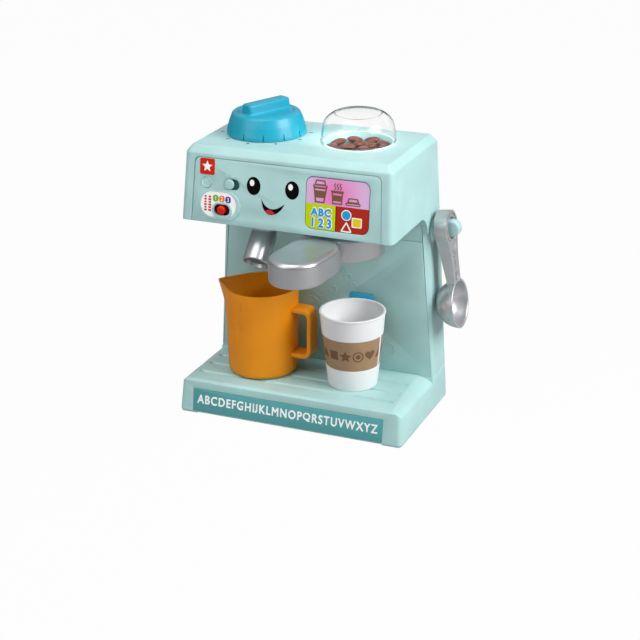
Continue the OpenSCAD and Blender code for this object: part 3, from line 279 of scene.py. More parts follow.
class Look(Enum):
    """Every finish on the machine and on its loose pieces."""

    SHELL = Finish("aqua_shell", "ADD3D2", 0.42, grain_depth_mm=0.02, depth_mm=0.6)
    # Dark teal for plates set in the deck marks, the tray pits and the switch recess: painted shade.
    PAINTED_SHADE_TEAL = Finish("painted_shade_teal", "2F5957", 0.6, specular=0.2)
    STRIP = Finish("teal_strip", "4AA5AA", 0.55, specular=0.25)
    PRINT_WHITE = PrintFinish("white_print", "FFFFFF", specular=0.2, cloud=0.0)
    DIAL = Finish("cyan_gloss", "1D9DB8", 0.32, grain_depth_mm=0.006, specular=0.4)
    BUTTON = Finish("blue_gloss", "3DB8E0", 0.35, specular=0.3)
    RED_KNOB = Finish("red_gloss", "D01200", 0.3, specular=0.35)
    RED_PRINT = PrintFinish("red_print", "CF260E")
    TILE_RED = PrintFinish("brick_red_print", "B12A1A")
    TILE_LIME = PrintFinish("lime_print", "C4D800", specular=0.1)
    # Pink film that pales away from one point: painted glow and highlight.
    FILM = PaintedGlowFinish("pink_film_painted_glow", "F27FC3", 0.5, specular=0.15)
    BROWN_PRINT = PrintFinish("brown_print", "7C5A40")
    BLUE_PRINT = PrintFinish("blue_print", "2E9CD8")
    YELLOW_PRINT = PrintFinish("yellow_print", "EACB22")
    BADGE_GREEN = PrintFinish("green_print", "72B52C")
    BADGE_ORANGE = PrintFinish("orange_print", "E57F1B")
    BADGE_PURPLE = PrintFinish("purple_print", "543090")
    BLACK_PRINT = PrintFinish("black_print", "040405", 0.5, cloud=0.2, specular=0.05)
    TONGUE = PrintFinish("coral_print", "D62838")
    # Dark red-brown for plates set in gaps and recesses: painted shade.
    DARK = Finish("painted_shade_dark", "4A0E0A", 0.7, specular=0.1)
    SILVER = Finish("silver_paint", "B4B6B8", 0.3, grain_mm=0.35, grain_depth_mm=0.008, cloud=0.03,
                    metallic=0.85)
    # A lighter, less metallic copy of the silver paint for the scoop: painted light where the key lamp falls on
    # it.
    SILVER_PAINTED_LIGHT = Finish("silver_painted_light", "BEC0C2", 0.34, grain_mm=0.35, grain_depth_mm=0.008, cloud=0.03,
                   metallic=0.6)
    # A darker silver: painted shade in the spout's mouth; the bean table is given it too.
    SILVER_DARK = Finish("silver_shade", "6B6D6F", 0.5, grain_mm=0.35, metallic=0.6)
    CLEAR = ClearFinish("clear_dome", "FFFFFF", 0.05, grain_depth_mm=0.002, cloud=0.0, specular=0.6)
    BEAN = Finish("bean_brown", "512414", 0.24, grain_mm=2.5, grain_depth_mm=0.05, cloud=0.35, cloud_mm=5)
    JUG = Finish("orange_satin", "EA9008", 0.45, grain_depth_mm=0.015, specular=0.3)
    CUP = Finish("white_satin", "EAEAEB", 0.45, grain_depth_mm=0.012, cloud=0.015, specular=0.35)
    SLEEVE = Finish("sleeve_brown", "A07F5F", 0.55, grain_mm=1.6, cloud=0.06, cloud_mm=8)
    SLEEVE_PRINT = PrintFinish("sleeve_print", "755840", specular=0.15)
    RUBBER = Finish("black_rubber", "2A2A2B", 0.75, grain_depth_mm=0.03)
    STEEL = Finish("zinc_steel", "B9BABC", 0.35, grain_mm=0.3, metallic=1.0)
    BOARD = Finish("green_board", "1E6B3C", 0.45, grain_mm=2.0)
    MOULDED_WHITE = Finish("moulded_white", "E4E6E6", 0.45)
    MOULDED_BLACK = Finish("moulded_black", "26272A", 0.5)
    CELL = Finish("cell_wrap", "3F7A4E", 0.3, coat=0.3)
    LED = Finish("led_resin", "F4F0DA", 0.2, coat=0.5)


# ---------------------------------------------------------------- outlines, in millimetres


def rounded(corners: Sequence[Point3], closed: bool = True, steps: int = 6) -> list[Point2]:
    """Rounds the corners of a line.

    Args:
        corners: x, y and corner radius of each corner.
        closed: Whether the line closes on itself.
        steps: Pieces in each rounded corner.

    Returns:
        The rounded line.
    """
    out: list[Point2] = []
    count = len(corners)
    for i, (x, y, r) in enumerate(corners):
        here = Vector((x, y))
        back = Vector(corners[i - 1][:2]) - here
        ahead = Vector(corners[(i + 1) % count][:2]) - here
        half = back.angle(ahead, 0.0) / 2
        if r <= 0 or (not closed and i in (0, count - 1)) or half > math.pi / 2 - 1e-3:
            out.append((x, y))
            continue
        run = min(r / math.tan(half), 0.499 * min(back.length, ahead.length))
        back.normalize()
        ahead.normalize()
        radius = run * math.tan(half)
        centre = here + (back + ahead).normalized() * (radius / math.sin(half))
        first, last = here + back * run - centre, here + ahead * run - centre
        start = math.atan2(first.y, first.x)
        sweep = (math.atan2(last.y, last.x) - start + math.pi) % TURN - math.pi
        out += [on_ring(*centre, radius, start + sweep * k / steps) for k in range(steps + 1)]
    return out


def on_ring(x: float, y: float, r: float, angle: float) -> Point2:
    """Returns the point of a circle at an angle in radians."""
    return x + r * math.cos(angle), y + r * math.sin(angle)


def oval(x: float, y: float, rx: float, ry: float, count: int = 48) -> list[Point2]:
    """Returns an upright oval's points."""
    return [(x + rx * math.cos(TURN * k / count), y + ry * math.sin(TURN * k / count)) for k in range(count)]


def circle(x: float, y: float, r: float, count: int = 40) -> list[Point2]:
    """Returns a circle's points."""
    return oval(x, y, r, r, count)


def star(x: float, y: float, tip: float, notch: float) -> list[Point2]:
    """Returns a five-pointed star's points from the reach of its tips and its notches."""
    return [(x + r * math.sin(math.pi * k / 5), y + r * math.cos(math.pi * k / 5))
            for k, r in enumerate((tip, notch) * 5)]


def box2(x: float, y: float, w: float, h: float, r: float = 0.0) -> list[Point2]:
    """Returns a rectangle's points from its centre, width, height and corner radius."""
    return rounded([(x + i * w / 2, y + j * h / 2, r) for i, j in ((-1, -1), (1, -1), (1, 1), (-1, 1))])


def taper(x: float, low: float, high: float, foot: float, top: float) -> list[Point2]:
    """Returns an upright form's points from its middle, its two heights, and its widths at them."""
    return [(x - foot / 2, low), (x + foot / 2, low), (x + top / 2, high), (x - top / 2, high)]


def swung(outline: Loop, angle: float, centre: Point2) -> list[Point2]:
    """Turns an outline by an angle in degrees and puts its origin on a point."""
    c, s = math.cos(math.radians(angle)), math.sin(math.radians(angle))
    return [(centre[0] + x * c - y * s, centre[1] + x * s + y * c) for x, y in outline]


def level(outline: Loop, z: float) -> list[Point3]:
    """Lays an outline at a height."""
    return [(x, y, z) for x, y in outline]


def wave(points: Loop, steps: int = 8) -> list[Point2]:
    """Draws a smooth line through points.

    Args:
        points: The points.
        steps: Pieces from each point to the next.

    Returns:
        The line.
    """
    out = []
    ends = [points[0], *points, points[-1]]
    for near in zip(ends, ends[1:], ends[2:], ends[3:]):
        for t in (k / steps for k in range(steps)):
            out.append(tuple(0.5 * (2 * q + (r - p) * t + (2 * p - 5 * q + 4 * r - s) * t * t
                                    + (3 * q - p - 3 * r + s) * t ** 3) for p, q, r, s in zip(*near)))
    return [*out, tuple(points[-1])]


def stroke(line: Loop, width: float) -> list[Point2]:
    """Turns a line into the outline of a band with round ends.

    Args:
        line: The line's points.
        width: Width of the band.

    Returns:
        The closed outline.
    """
    half = width / 2
    left, right = [], []
    for i, (x, y) in enumerate(line):
        ax, ay = line[max(0, i - 1)]
        bx, by = line[min(len(line) - 1, i + 1)]
        d = Vector((bx - ax, by - ay)).normalized()
        left.append((x - d.y * half, y + d.x * half))
        right.append((x + d.y * half, y - d.x * half))
    tip, foot = ([on_ring(x, y, half, math.atan2(y - oy, x - ox) + t) for t in (-1.1, -0.55, 0.0, 0.55, 1.1)]
                 for (x, y), (ox, oy) in ((line[-1], line[-2]), (line[0], line[1])))
    return right + tip + left[::-1] + foot


# ---------------------------------------------------------------- solid shapes, in millimetres


def faced(bm: Shape) -> Shape:
    """Turns every face outwards."""
    bmesh.ops.recalc_face_normals(bm, faces=bm.faces)
    return bm


def moved(bm: Shape, place: Place) -> Shape:
    """Puts every point of a shape where a rule says.

    Args:
        bm: The shape.
        place: The rule.

    Returns:
        The shape.
    """
    for point in bm.verts:
        point.co = place(*point.co)
    return bm


def turned(bm: Shape, angle: float) -> Shape:
    """Turns a shape round the upright axis by an angle in degrees."""
    bmesh.ops.rotate(bm, verts=bm.verts, matrix=Matrix.Rotation(math.radians(angle), 3, "Z"))
    return bm


def shifted(bm: Shape, x: float, y: float, z: float) -> Shape:
    """Moves a shape."""
    bmesh.ops.translate(bm, verts=bm.verts, vec=(x, y, z))
    return bm


def merge(*forms: Shape) -> Shape:
    """Puts several shapes into the first one.

    Args:
        *forms: The shapes.

    Returns:
        The first one with all in it.
    """
    whole = forms[0]
    for extra in forms[1:]:
        mesh = bpy.data.meshes.new("extra")
        extra.to_mesh(mesh)
        extra.free()
        whole.from_mesh(mesh)
        bpy.data.meshes.remove(mesh)
    return whole


def loft(loops: Sequence[Sequence[Point3]]) -> Shape:
    """Skins closed loops of equal length, and closes both ends.

    Args:
        loops: The loops, from one end to the other.

    Returns:
        The skinned form.
    """
    bm = bmesh.new()
    rows = [[bm.verts.new(p) for p in loop] for loop in loops]
    count = len(rows[0])
    for low, high in zip(rows, rows[1:]):
        for k in range(count):
            n = (k + 1) % count
            bm.faces.new((low[k], low[n], high[n], high[k]))
    bm.faces.new(list(reversed(rows[0])))
    bm.faces.new(rows[-1])
    return faced(bm)


def lathe(profile: Loop, centre: Point2 = (0.0, 0.0), count: int = 96) -> Shape:
    """Turns a closed half outline round an upright axis.

    Args:
        profile: Radius and height of each point; the line closes on itself.
        centre: Where the axis stands.
        count: Pieces round the axis.

    Returns:
        The turned form.
    """
    bm = bmesh.new()
    rows = [[bm.verts.new((x, y, z)) for x, y in (circle(*centre, r, count) if r > 1e-6 else [centre])]
            for r, z in profile]
    for a, b in zip(rows, rows[1:] + rows[:1]):
        for k in range(count):
            n = (k + 1) % count
            face = list(dict.fromkeys([a[k % len(a)], a[n % len(a)], b[n % len(b)], b[k % len(b)]]))
            if len(face) > 2:
                bm.faces.new(face)
    return faced(bm)


def rod(r: float, low: float, high: float, centre: Point2 = (0.0, 0.0), count: int = 32) -> Shape:
    """Builds an upright rod."""
    return lathe([(0, low), (r, low), (r, high), (0, high)], centre, count)


def upright(x: float, y: float, z: float) -> Point3:
    """Keeps a point as it is."""
    return x, y, z


def prism(outline: Loop, low: float, high: float, place: Place = upright) -> Shape:
    """Gives an outline thickness.

    Args:
        outline: The closed outline.
        low: Where the form starts, along the third direction.
        high: Where it ends.
        place: Turns outline and height into a point.

    Returns:
        The solid form.
    """
    return loft([[place(u, v, w) for u, v in outline] for w in (low, high)])


def refine(bm: Shape, longest: float) -> None:
    """Splits edges until none is longer than a length, so that a flat drawing can follow a curved wall.

    Args:
        bm: The drawing.
        longest: Longest edge that may stay.
    """
    for _ in range(6):
        long_edges = [e for e in bm.edges if e.calc_length() > longest]
        if not long_edges:
            return
        bmesh.ops.subdivide_edges(bm, edges=long_edges, cuts=1)
        bmesh.ops.triangulate(bm, faces=[f for f in bm.faces if len(f.verts) > 3])


def flat_shape(loops: Sequence[Loop], low: float, high: float, place: Place, longest: float = 0.0) -> Shape:
    """Makes thin plates from outlines, holes among them.

    Args:
        loops: Closed outlines; one inside another is a hole.
        low: Height of the underside.
        high: Height of the top.
        place: Turns outline and height into a point.
        longest: Longest edge on a curved wall; 0 keeps the plates flat.

    Returns:
        The plates as closed forms.
    """
    bm = bmesh.new()
    for loop in loops:
        points = [bm.verts.new((x, y, low)) for x, y in loop]
        for k, point in enumerate(points):
            bm.edges.new((point, points[(k + 1) % len(points)]))
    bmesh.ops.triangle_fill(bm, use_beauty=True, use_dissolve=False, edges=bm.edges)
    if longest:
        refine(bm, longest)
    made = bmesh.ops.extrude_face_region(bm, geom=bm.faces[:])
    for item in made["geom"]:
        if isinstance(item, bmesh.types.BMVert):
            item.co.z = high
    return faced(moved(faced(bm), place))


def heavier(shape: Shape, spread: float) -> Shape:
    """Thickens flat letters evenly: copies set out on rings, each a hair higher than the last.

    Args:
        shape: The letters as solid forms that lie flat.
        spread: How far their edges move out.

    Returns:
        The thickened letters.
    """
    turns, ring_gap, least, rise = 8, 0.6, 0.2, 0.02
    twins = []
    reach = spread
    while reach > least:
        for k in range(turns):
            twins.append(shifted(shape.copy(), *on_ring(0, 0, reach, TURN * (k + 0.5) / turns),
                                 rise * (len(twins) + 1)))
        reach -= ring_gap
    return merge(shape, *twins)


def lift_tails(bm: Shape, height: float) -> None:
    """Squeezes letters that reach below the line, so that all stand on it.

    Args:
        bm: The letters.
        height: Height of a capital.
    """
    waiting = set(bm.verts)
    while waiting:
        island, edge = set(), [waiting.pop()]
        while edge:
            point = edge.pop()
            island.add(point)
            near = {e.other_vert(point) for e in point.link_edges} & waiting
            waiting -= near
            edge.extend(near)
        low = min(point.co.y for point in island)
        if low < -0.08 * height:
            for point in island:
                point.co.y = (point.co.y - low) * height / (height - low)


@dataclass(frozen=True)
class Letters:
    """How a line of letters is set: size, stroke weight added, letter spacing and share of width kept."""

    size: float
    weight: float = 0.0
    spacing: float = 1.0
    squeeze: float = 1.0
    longest: float = 0.0
    capital: float = 0.682

    def write(self, text: str, x: float, y: float, low: float, high: float, place: Place) -> Shape:
        """Makes raised letters.

        Args:
            text: The letters.
            x: Middle of the line.
            y: Its foot.
            low: Height of the underside.
            high: Height of the top.
            place: Turns outline and height into a point.

        Returns:
            The letters as closed forms, with short edges where the wall is curved.
        """
        curve = bpy.data.curves.new("letters", "FONT")
        curve.body, curve.size, curve.align_x = text, self.size, "CENTER"
        curve.space_character, curve.resolution_u, curve.extrude = self.spacing, 4, (high - low) / 2
        thing = bpy.data.objects.new("letters", curve)
        bpy.context.scene.collection.objects.link(thing)
        mesh = bpy.data.meshes.new_from_object(thing.evaluated_get(bpy.context.evaluated_depsgraph_get()))
        bpy.data.objects.remove(thing)
        bpy.data.curves.remove(curve)
        bm = bmesh.new()
        bm.from_mesh(mesh)
        bpy.data.meshes.remove(mesh)
        bmesh.ops.remove_doubles(bm, verts=bm.verts, dist=0.0005)
        lift_tails(bm, self.capital * self.size)
        moved(bm, lambda u, v, w: (u * self.squeeze, v, w))
        if self.weight:
            bm = heavier(bm, self.weight)
        if self.longest:
            bmesh.ops.triangulate(bm, faces=bm.faces)
            refine(bm, self.longest)
        return faced(moved(bm, lambda u, v, w: place(x + u, y + v, (low + high) / 2 + w)))


class Cut(Enum):
    """What a cutter does to a form."""

    TAKE = "DIFFERENCE"
    JOIN = "UNION"


class Form:
    """A form that is still being shaped, in millimetres."""

    def __init__(self, name: str, bm: Shape) -> None:
        """Takes the first shape.

        Args:
            name: The piece's name.
            bm: Its shape.
        """
        mesh = bpy.data.meshes.new(name)
        bm.to_mesh(mesh)
        bm.free()
        self.thing = bpy.data.objects.new(name, mesh)
        bpy.context.scene.collection.objects.link(self.thing)

    def release(self) -> Shape:
        """Gives the shape back and removes the form.

        Returns:
            The shape.
        """
        bm = bmesh.new()
        mesh = self.thing.data
        bm.from_mesh(mesh)
        bpy.data.objects.remove(self.thing)
        bpy.data.meshes.remove(mesh)
        return bm

    def apply(self) -> "Form":
        """Turns the live modifiers into mesh.

        Returns:
            The form.
        """
        graph = bpy.context.evaluated_depsgraph_get()
        mesh = bpy.data.meshes.new_from_object(self.thing.evaluated_get(graph))
        old = self.thing.data
        self.thing.modifiers.clear()
        self.thing.data = mesh
        bpy.data.meshes.remove(old)
        return self

    def cut(self, mode: Cut, *shapes: Shape) -> "Form":
        """Cuts with the shapes or joins them, one after the other.

        Args:
            mode: Whether they are taken away or joined.
            *shapes: The shapes.

        Returns:
            The form.
        """
        for shape in shapes:
            tool = Form("cutter", shape)
            change = self.thing.modifiers.new("cut", "BOOLEAN")
            change.operation, change.solver, change.object = mode.value, "EXACT", tool.thing
            self.apply()
            tool.release().free()
        return self

    def clean(self) -> "Form":
        """Merges doubles and melts flat neighbours together.

        Returns:
            The form.
        """
        doubles, flat = 0.002, math.radians(0.2)
        bm = bmesh.new()
        bm.from_mesh(self.thing.data)
        bmesh.ops.remove_doubles(bm, verts=bm.verts, dist=doubles)
        bmesh.ops.dissolve_limit(bm, angle_limit=flat, verts=bm.verts, edges=bm.edges)
        bm.to_mesh(self.thing.data)
        bm.free()
        return self

    def soften(self, width: float, steps: int = 2, angle: float = 50.0) -> "Form":
        """Rounds every sharp edge.

        Args:
            width: Size of the rounding.
            steps: Pieces in it.
            angle: Edges sharper than this are rounded.

        Returns:
            The form.
        """
        change = self.thing.modifiers.new("soften", "BEVEL")
        change.width, change.segments = width, steps
        change.limit_method, change.angle_limit = "ANGLE", math.radians(angle)
        change.use_clamp_overlap = True
        return self.apply()

    def settle(self, look: Look, slot: str, *stands_for: str, body: str = "machine",
               smooth: float = 32.0) -> bpy.types.Object:
        """Brings the form to metres, shades it, gives it its finish, hangs it on its moving body and hides the
        CAD nodes it is shown for.

        Args:
            look: Its finish.
            slot: Not used.
            *stands_for: CAD nodes that it is shown for.
            body: The moving body it rides on.
            smooth: Edges flatter than this are shaded smooth.

        Returns:
            The finished piece.
        """
        mesh = self.thing.data
        mesh.transform(Matrix.Scale(MM, 4))
        mesh.shade_smooth()
        mesh.set_sharp_from_angle(angle=math.radians(smooth))
        mesh.materials.clear()
        mesh.materials.append(look.value.make())
        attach(self.thing, body)
        if stands_for:
            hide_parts(*stands_for)
        LOG.info("%s: %d faces on %s", self.thing.name, len(mesh.polygons), body)
        return self.thing


# ---------------------------------------------------------------- patterns grown by rule


class Pattern:
    """A Geometry Nodes tree that repeats the shape it is put on."""

    def __init__(self, name: str, look: Look, **kinds: str) -> None:
        """Starts the tree.

        Args:
            name: The tree's name.
            look: The finish of what it makes.
            **kinds: Its named inputs and their kinds.
        """
        self.look = look
        self.tree = bpy.data.node_groups.new(name, "GeometryNodeTree")
        sockets = self.tree.interface
        sockets.new_socket("Shape", in_out="INPUT", socket_type="NodeSocketGeometry")
        sockets.new_socket("Pattern", in_out="OUTPUT", socket_type="NodeSocketGeometry")
        self.keys = {key: sockets.new_socket(key, in_out="INPUT", socket_type=f"NodeSocket{kind}").identifier
                     for key, kind in kinds.items()}
        self.nodes = Nodes(self.tree)
        self.given = self.nodes.add("NodeGroupInput").outputs

    def close(self, **inputs: bpy.types.Node) -> None:
        """Ends the tree: the copies become real and take their material.

        Args:
            **inputs: Where the copies are put and how they are turned.
        """
        copies = self.nodes.add("GeometryNodeInstanceOnPoints", {"Instance": self.given["Shape"], **inputs})
        real = self.nodes.add("GeometryNodeRealizeInstances", {"Geometry": copies})
        material = self.look.value.make()
        paint = self.nodes.add("GeometryNodeSetMaterial", {"Geometry": real, "Material": material})
        self.nodes.add("NodeGroupOutput", {"Pattern": paint})

    def grow(self, shape: Shape, **values: object) -> Shape:
        """Puts the tree on a shape and makes its result real.

        Args:
            shape: The shape that is repeated.
            **values: The named inputs.

        Returns:
            The copies.
        """
        form = Form("repeated", shape)
        change = form.thing.modifiers.new("pattern", "NODES")
        change.node_group = self.tree
        for name, value in values.items():
            change[self.keys[name]] = value
        return form.apply().release()


class RingPattern(Pattern):
    """Copies on a ring round an upright axis, each turned to face outwards."""

    def __init__(self, name: str, look: Look) -> None:
        """Builds the ring with Count, Radius, Start, Centre, Tumble and Seed as inputs.

        Args:
            name: The tree's name.
            look: The finish of what it makes.
        """
        super().__init__(name, look, Count="Int", Radius="Float", Start="Float", Centre="Vector",
                         Tumble="Vector", Seed="Int")
        add, given = self.nodes.add, self.given
        index = add("GeometryNodeInputIndex")
        share = add("ShaderNodeMath", {0: index, 1: given["Count"]}, operation="DIVIDE")
        angle = add("ShaderNodeMath", {0: share, 1: TURN, 2: given["Start"]}, operation="MULTIPLY_ADD")
        arm = add("ShaderNodeCombineXYZ", {"X": given["Radius"]})
        swing = add("ShaderNodeVectorRotate", {"Vector": arm, "Angle": angle}, rotation_type="Z_AXIS")
        place = add("ShaderNodeVectorMath", {0: swing, 1: given["Centre"]}, operation="ADD")
        points = add("GeometryNodePoints", {"Count": given["Count"]})
        put = add("GeometryNodeSetPosition", {"Geometry": points, "Position": place})
        chance = add("FunctionNodeRandomValue", {"Min": (-1, -1, -1), "Max": (1, 1, 1), "Seed": given["Seed"]},
                     data_type="FLOAT_VECTOR")
        tumble = add("ShaderNodeVectorMath", {0: chance, 1: given["Tumble"]}, operation="MULTIPLY")
        facing = add("ShaderNodeCombineXYZ", {"Z": angle})
        turn = add("ShaderNodeVectorMath", {0: facing, 1: tumble}, operation="ADD")
        self.close(Points=put, Rotation=turn)


class RowPattern(Pattern):
    """Copies in a straight row."""

    def __init__(self, name: str, look: Look) -> None:
        """Builds the row with Count and Step as inputs."""
        super().__init__(name, look, Count="Int", Step="Vector")
        self.close(Points=self.nodes.add("GeometryNodeMeshLine", {"Count": self.given["Count"],
                                                                  "Offset": self.given["Step"]}))


# ---------------------------------------------------------------- the machine's own measures


@dataclass(frozen=True)
class Measures:
    """Sizes and places that several pieces share, in millimetres."""

    body_w: float = 222.0
    body_d: float = 127.0
    column_y: float = 27.0
    tray_h: float = 33.0
    head_z: float = 191.5
    edge_z: float = 252.5
    deck_z: float = 259.0
    draft: float = math.tan(math.radians(2.75))
    head_lean: float = 8.0
    base_lean: float = 6.0
    back_lean: float = 2.0
    head_front_y: float = -61.0
    wall: float = 2.4
    seam_z: float = 165.0
    fillet_r: float = 17.0
    standing_z: float = 33.02
    pivot_top: float = 196.9
    dial: Point2 = (-47.0, 9.0)
    dome: Point2 = (42.5, 9.0)
    spout: Point2 = (-33.0, -31.0)
    portafilter: Point2 = (40.0, -19.0)
    screen: Point2 = (49.0, 220.2)
    button: Point2 = (-76.6, 227.5)
    switch_slot: Point2 = (-51.9, 227.5)
    stage_slot: Point2 = (-61.0, 204.1)
    cup_button: Point2 = (38.5, 94.5)

    def half_w(self, z: float) -> float:
        """Returns half the width at a height."""
        return self.body_w / 2 - z * self.draft

    def back_at(self, z: float) -> float:
        """Returns the back's place at a height."""
        return self.body_d / 2 - self.back_lean * z / self.deck_z

    def head_front(self, z: float) -> float:
        """Returns the head front's place at a height."""
        return self.head_front_y + self.head_lean * (z - self.head_z) / (self.edge_z - self.head_z)

    def base_front(self, z: float) -> float:
        """Returns the base front's place at a height."""
        return -self.body_d / 2 + self.base_lean * z / self.tray_h

    @property
    def panel_tilt(self) -> float:
        """Returns the lean of the head front in radians."""
        return math.atan2(self.head_lean, self.edge_z - self.head_z)

    def on_head(self, x: float, z: float, out: float) -> Point3:
        """Returns a point on the head front, moved out by a distance."""
        return x, self.head_front(z) - out * math.cos(self.panel_tilt), z + out * math.sin(self.panel_tilt)

    def on_base(self, x: float, z: float, out: float) -> Point3:
        """Returns a point on the base front, moved out by a distance."""
        tilt = math.atan2(self.base_lean, self.tray_h)
        return x, self.base_front(z) - out * math.cos(tilt), z + out * math.sin(tilt)

    def on_column(self, x: float, z: float, out: float) -> Point3:
        """Returns a point on the column's front, moved out by a distance."""
        return x, self.column_y - out, z

    def on_side(self, out: float, y: float, up: float, z: float) -> Point3:
        """Returns a point by the right side wall, from a height on that wall."""
        c, s = math.cos(math.atan(self.draft)), math.sin(math.atan(self.draft))
        return self.half_w(z) + out * c - up * s, y, z + out * s + up * c


M = Measures()


# ---------------------------------------------------------------- housing


@dataclass(frozen=True)
class Bevel:
    """One bevel along the tray's side: its hand, where it starts at the back and in front, and its drop."""

    hand: int
    back: float
    front: float
    drop: float
    run: float = 85.0
    steps: int = 12

    def spread(self, u: float, z: float, y: float) -> Point3:
        """Runs the bevel wider towards the back.

        Args:
            u: Share of the way from where the bevel starts to the side wall.
            z: Height.
            y: Depth.

        Returns:
            The point.
        """
        inner = self.back + (self.front - self.back) * (M.column_y - y) / self.run
        outer = M.half_w(M.tray_h - self.drop) + 0.05
        return self.hand * (inner + u * (outer - inner)), y, z

    def cutter(self) -> Shape:
        """Builds what the bevel takes off the base.

        Returns:
            The cutter.
        """
        foot = M.tray_h - self.drop
        side = [(u, M.tray_h - self.drop * (0.45 * u + 0.55 * (1 - math.sqrt(1 - u ** 2))))
                for u in (k / self.steps for k in range(self.steps + 1))]
        rim = [*side, (1.4, foot), (1.4, M.tray_h + 3), (0.0, M.tray_h + 3)]
        return prism(rim, -80, M.column_y - 0.4, self.spread)


@dataclass
class Housing:
    """The upper shell, its front panel, the bay's ceiling, the column's front and the base cover."""

    corner_r: float = 5.5
    back_r: float = 2.2
    deck_in: float = 5.5
    deck_soft: float = 2.6
    gap: float = 0.5
    face_gap: float = 0.25
    panel_margin: float = 10.5
    panel_top: float = 249.5
    panel_r: float = 5.0
    tick_count: int = 10
    tick_start: float = 18.0
    tick_reach: float = 38.4
    tick_size: Point3 = (3.8, 2.1, 0.25)
    bevels: tuple[Bevel, ...] = (Bevel(-1, 101.5, 104.0, 4.5), Bevel(1, 94.5, 100.0, 7.5))
    base_r: float = 4.0
    groove_y: Point3 = (3.0, -17.3, -37.6)
    groove_w: float = 5.0
    groove_x: float = -3.3
    groove_end: float = 96.0
    groove_depth: float = 1.7
    pit_x: Point2 = (-99.2, 92.4)
    pit_size: Point2 = (3.2, 2.2)
    strip: Point2 = (-2.3, 13.9)
    strip_size: Point2 = (189.8, 21.4)
    strip_depth: float = 0.8
    relief_at: Point2 = (-0.65, -0.5)
    bubbles: tuple[Point3, ...] = (
        (21.5, 128.6, 3.0), (25.5, 122.2, 3.6), (8.3, 116.8, 2.6), (10.2, 108.1, 3.6),
        (30.5, 114.9, 2.8), (65.5, 55.6, 6.6), (3.5, 124.0, 2.0), (16.0, 119.0, 2.2))
    curls: tuple[Loop, ...] = (
        ((-18.4, 99.5), (-14, 103.5), (-9, 103.2), (-4.5, 99.8), (0, 99.5), (2.4, 102.4)),
        ((-20, 94), (-15, 97.6), (-9.5, 97.2), (-5, 94), (0.5, 93.6), (4, 96.4)),
        ((-6, 84), (-2.5, 88), (-5.5, 92)), ((-2, 58), (2, 62), (-1, 67), (3, 71)))

    def plan(self, z: float, inset: float) -> list[Point2]:
        """Returns the head's plan outline.

        Args:
            z: The height.
            inset: How much smaller it is drawn.

        Returns:
            The outline.
        """
        half, back = M.half_w(z) - inset, M.back_at(z) - inset
        front = M.head_front(z) + inset
        r = max(self.corner_r - 0.55 * inset, 1.0)
        return rounded([(-half, front, r), (half, front, r), (half, back, self.back_r),
                        (-half, back, self.back_r)], steps=8)

    def chamfer(self, z: float) -> float:
        """Returns the width of the column's front chamfer at a height."""
        return 1.3 + 4.5 * min(1.0, max(0.0, (z - M.tray_h) / (M.seam_z - M.tray_h)))

    def window(self, z: float) -> float:
        """Returns half the clear width between the column's chamfers."""
        return M.half_w(z) - self.chamfer(z)

    def head(self) -> Shape:
        """Builds the head's outer form.

        Returns:
            The form.
        """
        edge = rounded([(0, M.head_z, 0), (0, M.edge_z, self.deck_soft),
                        (self.deck_in, M.deck_z, self.deck_soft), (self.deck_in + 8, M.deck_z, 0)],
                       closed=False)
        return loft([level(self.plan(min(z, M.edge_z), inset), z) for inset, z in edge])

    def column(self) -> Shape:
        """Builds the column's outer form.

        Returns:
            The form.
        """
        levels = ((M.tray_h + 0.45, 0), (66, 0), (100, 0), (132, 0), (M.seam_z, 0), (191.2, 0), (194, 0.05))
        front = M.column_y
        loops = []
        for z, slim in levels:
            c, half, back = self.chamfer(z), M.half_w(z) - slim, M.back_at(z) - slim
            loops.append(level(rounded(
                [(-half, front + c, 0.8), (-half + c, front, 0.8), (half - c, front, 0.8),
                 (half, front + c, 0.8), (half, back, self.back_r), (-half, back, self.back_r)],
                steps=4), z))
        return loft(loops)

    def arc(self, grow: float) -> list[Point2]:
        """Returns the hollow curve under the head as depth and height, grown by a distance."""
        y, z = M.column_y - M.fillet_r, M.head_z - M.fillet_r
        return [on_ring(y, z, M.fillet_r + grow, math.radians(a)) for a in range(0, 91, 6)]

    def across(self, outline: Loop, half: Callable[[float], float]) -> Shape:
        """Extrudes a side outline to both sides, as wide as a rule says at each height."""
        return prism(outline, -1, 1, lambda y, z, w: (w * half(z), y, z))

    def panel(self, shrink: float, foot_z: float) -> list[Point2]:
        """Returns the front panel's outline.

        Args:
            shrink: How much smaller it is drawn.
            foot_z: Height of its lower edge.

        Returns:
            The outline.
        """
        foot, top = (M.half_w(z) - self.panel_margin - shrink for z in (M.head_z, self.panel_top))
        high = self.panel_top - shrink
        return rounded([(-foot, foot_z, 0), (foot, foot_z, 0), (top, high, self.panel_r),
                        (-top, high, self.panel_r)])

    def ticks(self, grow: float, low: float, high: float, look: Look) -> Shape:
        """Builds the marks round the dial as a ring of small blocks.

        Args:
            grow: How much larger they are drawn.
            low: Their foot.
            high: Their top.
            look: Their finish.

        Returns:
            The marks.
        """
        length, width, _ = self.tick_size
        block = prism(box2(length / 2, 0, length + grow, width + grow, 0.3), low, high)
        return RingPattern("mark_ring", look).grow(block, Count=self.tick_count, Radius=self.tick_reach,
                                                   Start=math.radians(self.tick_start), Centre=(*M.dial, 0.0))

